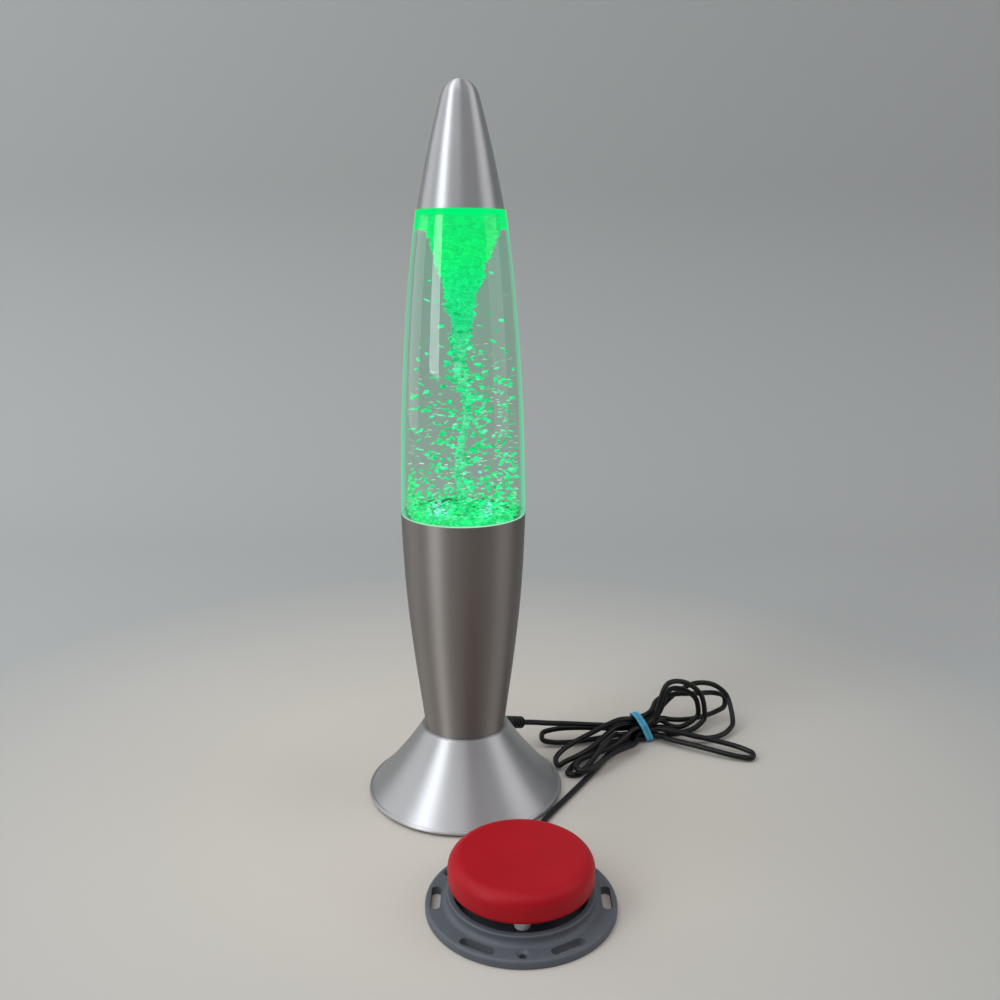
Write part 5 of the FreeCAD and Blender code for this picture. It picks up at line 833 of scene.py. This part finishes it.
# The whirl over the bottle's foot, in millimetres: height, radius, and the sway of its middle
WHIRL_RINGS = (
    (12.4, 1.8, 0.0, 0.0), (26.0, 1.9, 0.3, 0.6), (37.0, 2.0, -0.2, 0.9), (49.0, 1.9, -2.3, 0.4),
    (56.0, 1.9, -2.1, -0.3), (63.0, 1.8, -1.2, -0.9), (70.0, 1.8, 0.8, -1.1), (80.0, 1.9, 2.5, -0.6),
    (88.0, 2.0, 2.5, -0.2), (95.0, 2.1, 0.7, 0.5), (100.5, 2.3, -0.6, 0.9), (107.5, 3.1, -1.2, 0.5),
    (114.0, 4.2, -0.5, 0.3), (118.0, 4.4, -0.5, 0.2), (123.4, 5.0, 0.4, 0.0), (129.7, 6.0, -0.5, 0.0),
    (135.5, 7.4, -0.7, 0.0), (139.8, 8.5, 0.0, 0.0), (142.9, 9.5, 0.6, 0.0), (145.3, 10.8, 0.7, 0.0),
    (150.0, 11.2, -0.6, 0.0), (153.5, 13.2, 0.9, 0.0), (159.6, 15.0, 0.7, 0.0), (163.2, 16.4, 0.8, 0.0),
    (164.6, 17.2, 0.6, 0.0), (165.4, 19.7, 0.0, 0.0), (168.0, 19.5, 0.0, 0.0), (171.9, 18.8, 0.0, 0.0),
)
WHIRL_LOW, WHIRL_HIGH = (BOTTLE_LOW + row[0] * MM for row in (WHIRL_RINGS[0], WHIRL_RINGS[-1]))

# Height over the bottle's foot where the whirl meets the wall, in millimetres
WHIRL_MEETS_WALL = 165.4

# The water over the bottle's foot, in millimetres: height and radius
BOTTLE_INSIDE = (
    (3.0, 25.4), (30.7, 27.5), (31.0, 28.5), (60.0, 28.1), (87.0, 27.1),
    (115.0, 25.3), (143.0, 23.0), (160.0, 20.9), (168.0, 19.9), (172.0, 19.2),
)

# Where the whirl's own flakes end, and where its tufts are and how far out they stand
SKIN_HIGH = BOTTLE_LOW + 164.0 * MM
TUFTS_LOW, TUFTS_HIGH = WHIRL_LOW + 60 * MM, WHIRL_LOW + 120 * MM
TUFTS_OUT = 0.6 * MM

# Heights of the loose flakes and the streaks, their skins as shares of the water's radius, and their gaps
LOOSE_LOW, LOOSE_HIGH = BOTTLE_LOW + 31 * MM, BOTTLE_LOW + 156 * MM
LOOSE_SKINS = (0.93, 0.8, 0.63, 0.42, 0.24)
STREAK_SKINS = (0.9, 0.66, 0.4)
LOOSE_GAP = 2.6 * MM
WHIRL_GAP = 3 * MM

# Heights of the large flakes near the whirl, and how far out their skins are
LARGE_LOW, LARGE_HIGH = BOTTLE_LOW + 54 * MM, BOTTLE_LOW + 110 * MM
LARGE_OUT = (7 * MM, 10 * MM)

# The bed's heap, as heights over the bed and radii, and its share of flakes
BED_HEAP = ((1.2 * MM, 25.4 * MM), (-1.5 * MM, 23 * MM), (-5 * MM, 18.6 * MM))
HEAP_SHARE = 0.6

# The swirl over the bed: heights of its layers, and each layer's rings as steps up and radii
BED_LAYERS = (0.1485, 0.1455, 0.1415)
LAYER_RINGS = ((0.6 * MM, 20 * MM), (-0.4 * MM, 13 * MM), (0.3 * MM, 7.2 * MM))

# How far the bed's flakes keep from the bottle's wall, and how high they climb it
WALL_GAP = 2.0 * MM
CLIMB = 22 * MM


def at_height(rings, height, ease=lambda t: t):
    """What rings in millimetres say at a height in metres. Past their ends, the end ring holds."""
    z = min(max((height - BOTTLE_LOW) / MM, rings[0][0]), rings[-1][0])
    low, high = next(pair for pair in zip(rings, rings[1:]) if z <= pair[1][0])
    t = ease((z - low[0]) / (high[0] - low[0]))
    return [(a + t * (b - a)) * MM for a, b in zip(low[1:], high[1:])]


def whirl_at(height):
    """Radius and middle of the whirl, smoothly between its rings."""
    return at_height(WHIRL_RINGS, height, lambda t: t * t * (3 - 2 * t))


def inside_radius(height):
    """Radius of the water."""
    return at_height(BOTTLE_INSIDE, height)[0]


def ragged(height, angle, radius):
    """Uneven outline: lumps and twisted ridges that shrink to nothing where the whirl meets the wall."""
    z = height / MM
    turn = angle + 0.35 * z
    lump = noise.noise(Vector((2.2 * math.cos(turn), 2.2 * math.sin(turn), 0.45 * z)))
    tooth = noise.noise(Vector((5 * math.cos(angle), 5 * math.sin(angle), 1.4 * z)))
    free = min(1.0, max(0.0, (BOTTLE_LOW + WHIRL_MEETS_WALL * MM - height) / (3 * MM)))
    return radius - 0.25 * MM + free * (0.9 * lump + 0.5 * tooth) * min(MM, 0.22 * radius)


def core_mesh(steps=340, segments=60):
    """Closed skin of the whirl's core."""
    build = bmesh.new()
    rows = []
    for height in evenly(WHIRL_LOW, WHIRL_HIGH, steps):
        radius, x, y = whirl_at(height)
        row = []
        for k in range(segments):
            angle = 2 * math.pi * k / segments
            r = ragged(height, angle, radius)
            row.append(build.verts.new((x + r * math.cos(angle), y + r * math.sin(angle), height)))
        rows.append(row)
    for row, above in zip(rows, rows[1:]):
        for k in range(segments):
            after = (k + 1) % segments
            build.faces.new((row[k], row[after], above[after], above[k]))
    build.faces.new(rows[0][::-1])
    build.faces.new(rows[-1])
    bmesh.ops.triangulate(build, faces=[f for f in build.faces if len(f.verts) > 4])
    mesh = bpy.data.meshes.new("whirl_core")
    build.to_mesh(mesh)
    build.free()
    mesh.shade_smooth()
    return mesh


def whirl_glow(look):
    """Painted glow of the core, streaked, and darker low down."""
    glow = Finish("whirl glow", look.glitter, 0.45, Specular_IOR_Level=0.1)
    streaks = glow.noise(1.0, 5.0, (300, 300, 1500), 0.65)
    both = glow.mean(streaks, glow.noise(330.0, 2.0), 0.6)
    deep = glow.by_height(((0.15, 0.45), (0.235, 0.5), (0.265, 0.78)))
    shade = glow.blend(glow.spread(both, 0.38, 0.58), deep, (1.05, 1.06, 1.05))
    glow.shine(glow.times(glow.by_height(GLITTER_SHADES), shade), look.glow)
    return glow.bump(streaks, 0.4 * MM)


class LAMP_OT_whirl(bpy.types.Operator):
    """The whirl of glitter: a core that winds up from the stirrer, thick with flakes"""

    bl_idname = "lamp.whirl"
    bl_label = "Whirl"

    def execute(self, context):
        look = context.scene.lamp_look
        core = show(context, "whirl_core", core_mesh())
        core.data.materials.append(whirl_glow(look).material)
        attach(core, "stirrer")
        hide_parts("glitter_vortex")
        heights = evenly(WHIRL_LOW, SKIN_HIGH, 120)
        skin = turned_skin([(height, *whirl_at(height)) for height in heights], 40)
        finish = lit_flakes("whirl flakes", look, WHIRL_SHADES, toned=True)
        strew(context, "whirl_flakes", "stirrer", finish, [skin])

        def wound(height, angle):
            """Tufts that wind up round the core."""
            return max(0.0, math.sin(330 * height + 2 * angle)) ** 2

        rings = []
        for height in evenly(TUFTS_LOW, TUFTS_HIGH, 40):
            radius, *middle = whirl_at(height)
            rings.append((height, radius + TUFTS_OUT, *middle))
        finish = lit_flakes("tuft flakes", look, TUFT_SHADES)
        strew(context, "whirl_tufts", "stirrer", finish, [turned_skin(rings, 24, wound)])
        return {"FINISHED"}


class LAMP_OT_loose_glitter(bpy.types.Operator):
    """Loose flakes in the water, thicker low down and to one side"""

    bl_idname = "lamp.loose_glitter"
    bl_label = "Loose glitter"

    def execute(self, context):
        look = context.scene.lamp_look

        def adrift(height, angle):
            """Clumps that grow thin with the height, and low down lie more to one side."""
            t = (height - LOOSE_LOW) / (LOOSE_HIGH - LOOSE_LOW)
            clump = 0.5 + 0.5 * math.sin(3 * angle + 210 * height) * math.sin(7 * angle - 150 * height + 1)
            side = 1.0 + 0.75 * math.cos(angle + 0.6) * (1 - t)
            return (1.3 * (1 - t) ** 2.4 + 0.28 * (t < 0.62) + 0.03) * side * (0.25 + clump)

        def clumps(height, angle):
            """Patches that wind up round the whirl."""
            return max(0.0, math.sin(140 * height + 2 * angle)) ** 2 * (1.4 + math.cos(angle - 0.4))

        def skins(insets):
            for inset in insets:
                rings = []
                for height in evenly(LOOSE_LOW, LOOSE_HIGH, 60):
                    wall = inside_radius(height)
                    radius = max(inset * wall, whirl_at(height)[0] + WHIRL_GAP)
                    rings.append((height, min(radius, wall - LOOSE_GAP)))
                yield turned_skin(rings, 48, adrift)

        finish = lit_flakes("loose flakes", look, LOOSE_SHADES, cold=True)
        strew(context, "loose_glitter", "bottle_unit", finish, skins(LOOSE_SKINS))
        heights = evenly(LARGE_LOW, LARGE_HIGH, 30)
        near = []
        for out in LARGE_OUT:
            rings = [(height, out + 0.35 * whirl_at(height)[0]) for height in heights]
            near.append(turned_skin(rings, 24, clumps))
        strew(context, "large_flakes", "bottle_unit", lit_flakes("large flakes", look, LOOSE_SHADES), near)
        finish = lit_flakes("pale flakes", look, PALE_SHADES)
        strew(context, "glitter_streaks", "bottle_unit", finish, skins(STREAK_SKINS))
        return {"FINISHED"}


class LAMP_OT_glitter_bed(bpy.types.Operator):
    """Glitter that has settled round the stirrer's guard, and the thick swirl over it"""

    bl_idname = "lamp.glitter_bed"
    bl_label = "Glitter bed"

    def execute(self, context):
        look = context.scene.lamp_look
        # Painted glow of the settled glitter, in dark and bright grains
        bed = Finish("bed glow", look.glitter, 0.5, Specular_IOR_Level=0.15)
        grains = bed.noise(700.0, 4.0)
        bed.shine(bed.blend(bed.spread(grains, 0.38, 0.6), (0.0, 0.3, 0.06), (0.003, 0.78, 0.2)), look.glow)
        dress("glitter_bed", bed.bump(grains, 0.5 * MM))
        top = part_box("glitter_bed")[1].z
        heap = [(top + up, out) for up, out in BED_HEAP]
        layers = [turned_skin(heap, 64, lambda height, angle: HEAP_SHARE)]
        for height in BED_LAYERS:
            rings = [(height, inside_radius(height - MM) - WALL_GAP)]
            rings += [(height + up, out) for up, out in LAYER_RINGS]
            layers.append(turned_skin(rings, 64))

        def climb(height, angle):
            """Flakes that climb the wall, higher at its sides as the photograph shows it."""
            up = (height - SLEEVE_RIM) / CLIMB
            sides = 0.35 + 0.65 * abs(math.cos(angle)) ** 3
            return max(0.0, 1 - up / (sides * (0.75 - 0.35 * math.cos(angle))))

        heights = evenly(SLEEVE_RIM, SLEEVE_RIM + CLIMB, 12)
        wall = [(height, inside_radius(height) - WALL_GAP) for height in heights]
        layers.append(turned_skin(wall, 64, climb))
        finish = lit_flakes("bed flakes", look, BED_SHADES, cold=True)
        strew(context, "bed_flakes", "bottle_unit", finish, layers)
        return {"FINISHED"}


# Press switch


class LAMP_OT_press_switch(bpy.types.Operator):
    """The red disc, its pegs and springs, the grey base and the snap switch in it"""

    bl_idname = "lamp.press_switch"
    bl_label = "Press switch"

    def execute(self, context):
        look = context.scene.switch_look
        red = Finish("disc red", look.disc, 0.42, Specular_IOR_Level=0.2)
        broad = red.noise(60.0, 3.0)
        red.tint(broad, 0.86, 1.12)
        red.polish(broad, 0.38, 0.55)
        dress("press_disc", red.bump(red.noise(3400.0, 2.0), 0.03 * MM))
        grey = Finish("base grey", look.flange, 0.5, Specular_IOR_Level=0.45)
        speck = grey.noise(3000.0, 2.0)
        layers = grey.noise(1.0, 2.0, (90, 90, 4200))
        grey.tint(grey.noise(45.0, 3.0), 0.85, 1.15)
        grey.polish(speck, 0.42, 0.6)
        dress("switch_base", grey.bump(grey.reckon("ADD", layers, speck), 0.025 * MM))
        dress("guide_pegs", Finish("peg white", look.peg, 0.35).worn(1400.0, 0.05, 0.06))
        dress("return_springs", plain_metal("spring wire", (0.6, 0.6, 0.61), 0.22))
        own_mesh(NODES["return_springs"])
        dress("snap_switch", moulded("snap switch black", (0.025, 0.025, 0.025), 0.4))
        dress("snap_plunger", moulded("plunger red", (0.4, 0.02, 0.02)))
        dress("snap_lever", plain_metal("lever steel", (0.66, 0.65, 0.62), 0.25))
        dress("snap_screws", plain_metal("small screws", (0.6, 0.6, 0.58)))
        return {"FINISHED"}


# Inside


class LAMP_OT_inside(bpy.types.Operator):
    """Finishes of what the shell hides"""

    bl_idname = "lamp.inside"
    bl_label = "Inside"

    def execute(self, context):
        glitter = context.scene.lamp_look.glitter
        dress("base_plate", moulded("plate black", (0.03, 0.03, 0.032)))
        dress("battery_door", moulded("door black", (0.034, 0.034, 0.036), 0.55, 1700.0))
        dress("base_lugs motor_frame", moulded("frame grey", (0.42, 0.43, 0.44)))
        dress("battery_tray board_parts power_switch", moulded("tray black", (0.045, 0.045, 0.047)))
        dress("magnet_carrier impeller power_knob", moulded("stirrer white", (0.72, 0.74, 0.72), 0.4))
        zinc = plain_metal("zinc", (0.6, 0.61, 0.58), 0.32)
        dress("plate_screws neck_nuts motor_screws battery_contacts", zinc)
        dress("neck_tube", plain_metal("threaded brass", (0.66, 0.48, 0.2), 0.3))
        dress("motor", plain_metal("motor can", (0.56, 0.56, 0.57), 0.26))
        bright = plain_metal("bright steel", (0.64, 0.64, 0.65), 0.18)
        dress("motor_shaft impeller_pin battery_springs", bright)
        dress("drive_magnets impeller_magnets", plain_metal("nickel", (0.66, 0.64, 0.6), 0.14))
        wire = rubber("wire jackets", (0.4, 0.02, 0.02), 0.45)
        dress("cone_wires motor_wires light_wires switch_wires", wire)
        board = Finish("board green", (0.01, 0.14, 0.05), 0.35)
        tracks = board.noise(160.0, 0.0)
        board.tint(board.spread(tracks, 0.48, 0.5), 0.75, 1.5)
        dress("light_board control_board", board.bump(tracks, 0.05 * MM))
        film = Finish("cell film", (0.03, 0.07, 0.1), 0.25)
        sideways = film.node("ShaderNodeSeparateXYZ", {"Vector": film.where()}, "Y")
        dress("battery_cells", film.tint(film.spread(sideways, 8 * MM, 8.2 * MM), 1.0, 6.0))
        lens = Finish("lens", (0.4, 0.95, 0.6), 0.15, Emission_Color=rgba(glitter), Emission_Strength=1.5)
        dress("leds", lens.tint(lens.noise(800.0), 0.8, 1.2))
        # Painted glow: the window over the LEDs and the stirrer's guard give out a share of the glitter's
        # green light
        dress("light_window", clear_wall("window", (0.9, 1.0, 0.94), glitter, 0.12))
        dress("impeller_guard", clear_wall("guard", (0.8, 1.0, 0.88), glitter, 0.15))
        return {"FINISHED"}


# Stage

ROOM_LIGHT = 0.12
SEEN_ROOM_LIGHT = 0.36
ROOM_COLOUR = (0.97, 0.98, 1.0)

# How far from the lamp the floor's colour starts and ends to fade into the backdrop's
FADE = (0.12, 0.36)

# The window at the left: its middle, its whole size, its panes, and the power of one pane
WINDOW = (-0.92, -0.69, 0.76)
WINDOW_WIDTH = 0.42
WINDOW_HEIGHT = 1.1
WINDOW_COLOUR = (0.9, 0.96, 1.0)
PANES = 5
PANE_SHARE = 0.8
PANE_POWER = 1.3

# The soft lamps: place, what they face, size, power and colour
MIDDLE = (0.0, 0.0, 0.25)
DAYLIGHT = (0.97, 0.97, 1.0)
SOFT_LAMPS = {
    "left wall": ((-1.15, 0.3, 0.6), MIDDLE, (0.8, 1.2), 2.8, (0.95, 0.97, 1.0)),
    "ceiling": ((-1.2, -0.2, 2.0), (-1.2, -0.2, 0.0), (2.4, 3.4), 40.0, ROOM_COLOUR),
    "right": ((1.15, -0.2, 0.6), MIDDLE, (0.8, 1.2), 2.0, DAYLIGHT),
    "right ceiling": ((1.4, 0.2, 1.7), MIDDLE, (1.6, 2.0), 8.0, DAYLIGHT),
    "front ceiling": ((0.5, -1.2, 1.9), MIDDLE, (1.6, 1.2), 5.0, DAYLIGHT),
}

CLEAR_LAYERS = 32
SENSOR_WIDTH = 36
CAMERA_PLACE = (0.0181, -0.4919, 0.2758)
CAMERA_PITCH = 76.255


def panel(context, name, place, target, size, power, colour):
    """A soft lamp that faces a point."""
    light = bpy.data.lights.new(name, "AREA")
    light.shape = "RECTANGLE"
    light.size, light.size_y = size
    light.energy = power
    light.color = colour
    lamp = show(context, name, light)
    lamp.location = place
    lamp.rotation_euler = (Vector(target) - Vector(place)).to_track_quat("-Z", "Y").to_euler()


def window(context):
    """The panes of the window, side by side, all facing the lamp's side of the room."""
    towards = Vector((-WINDOW[0], -WINDOW[1], 0.0))
    sideways = Vector((WINDOW[1], -WINDOW[0], 0.0)).normalized()
    size = (PANE_SHARE * WINDOW_WIDTH / PANES, WINDOW_HEIGHT)
    for k in range(PANES):
        place = Vector(WINDOW) + sideways * (WINDOW_WIDTH * ((k + 0.5) / PANES - 0.5))
        panel(context, "window %d" % k, place, place + towards, size, PANE_POWER, WINDOW_COLOUR)


def sweep(look):
    """Floor that curves up into a backdrop behind the lamp, and fades into its colour."""
    bend, start, far, steps = 0.35, 0.45, 4.0, 16
    profile = [(-far, 0.0)]
    for k in range(steps + 1):
        angle = math.pi / 2 * k / steps
        profile.append((start + bend * math.sin(angle), bend - bend * math.cos(angle)))
    profile.append((start + bend, far))
    corners = [(x, y, z) for y, z in profile for x in (-far, far)]
    faces = [(2 * i, 2 * i + 1, 2 * i + 3, 2 * i + 2) for i in range(len(profile) - 1)]
    mesh = bpy.data.meshes.new("sweep")
    mesh.from_pydata(corners, [], faces)
    mesh.shade_smooth()
    paper = Finish("paper", look.floor, 0.85)
    away = paper.node("ShaderNodeVectorMath", {0: paper.where()}, "Value", operation="LENGTH")
    colour = paper.blend(paper.spread(away, *FADE), look.floor, look.backdrop)
    mesh.materials.append(paper.set(Base_Color=colour).material)
    return mesh


def room():
    """A world that lights the lamp faintly, and looks lighter where the camera sees it."""
    world = bpy.data.worlds.new("room")
    world.use_nodes = True
    tree = world.node_tree
    seen = add_node(tree, "ShaderNodeLightPath", {}).outputs["Is Camera Ray"]
    levels = {"Value": seen, "To Min": ROOM_LIGHT, "To Max": SEEN_ROOM_LIGHT}
    level = add_node(tree, "ShaderNodeMapRange", levels).outputs["Result"]
    background = tree.nodes["Background"].inputs
    plug(tree, rgba(ROOM_COLOUR), background["Color"])
    plug(tree, level, background["Strength"])
    return world


class LAMP_OT_stage(bpy.types.Operator):
    """Pale floor, backdrop, soft lamps and the camera"""

    bl_idname = "lamp.stage"
    bl_label = "Stage"

    def execute(self, context):
        scene = context.scene
        look = scene.stage_look
        scene.view_settings.view_transform = "Standard"
        scene.cycles.transparent_max_bounces = CLEAR_LAYERS
        scene.world = room()
        show(context, "sweep", sweep(look))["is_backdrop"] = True
        window(context)
        for name, settings in SOFT_LAMPS.items():
            panel(context, name, *settings)
        camera = show(context, "camera", bpy.data.cameras.new("camera"))
        camera.data.sensor_width = SENSOR_WIDTH
        camera.data.lens = look.lens
        camera.location = CAMERA_PLACE
        camera.rotation_euler = (math.radians(CAMERA_PITCH), 0, 0)
        scene.camera = camera
        return {"FINISHED"}


class LAMP_PT_panel(bpy.types.Panel):
    """Sizes and colours of the lamp, and one button for each group of pieces"""

    bl_idname = "LAMP_PT_panel"
    bl_label = "Tornado lamp"
    bl_space_type = "VIEW_3D"
    bl_region_type = "UI"
    bl_category = "Lamp"

    def draw(self, context):
        for group in LOOKS:
            settings = getattr(context.scene, group)
            for name in settings.__annotations__:
                self.layout.prop(settings, name)
        for operator in OPERATORS:
            self.layout.operator(operator.bl_idname)


LOOKS = {"lamp_look": LampLook, "cord_look": CordLook, "switch_look": SwitchLook, "stage_look": StageLook}
OPERATORS = (
    LAMP_OT_stage, LAMP_OT_cord, LAMP_OT_cord_fittings, LAMP_OT_spun_shell, LAMP_OT_bottle, LAMP_OT_whirl,
    LAMP_OT_loose_glitter, LAMP_OT_glitter_bed, LAMP_OT_press_switch, LAMP_OT_inside,
)


def register():
    for kind in (*LOOKS.values(), *OPERATORS, LAMP_PT_panel):
        bpy.utils.register_class(kind)
    for name, kind in LOOKS.items():
        setattr(bpy.types.Scene, name, PointerProperty(type=kind))


def unregister():
    for name in LOOKS:
        delattr(bpy.types.Scene, name)
    for kind in (LAMP_PT_panel, *OPERATORS[::-1], *list(LOOKS.values())[::-1]):
        bpy.utils.unregister_class(kind)


def main():
    register()
    for operator in OPERATORS:
        group, name = operator.bl_idname.split(".")
        getattr(getattr(bpy.ops, group), name)()
    boxes = {"cad": CAD_BOX, "scene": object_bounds()}
    {name: [list(low), list(high)] for name, (low, high) in boxes.items()}


if __name__ == "__main__":
    main()
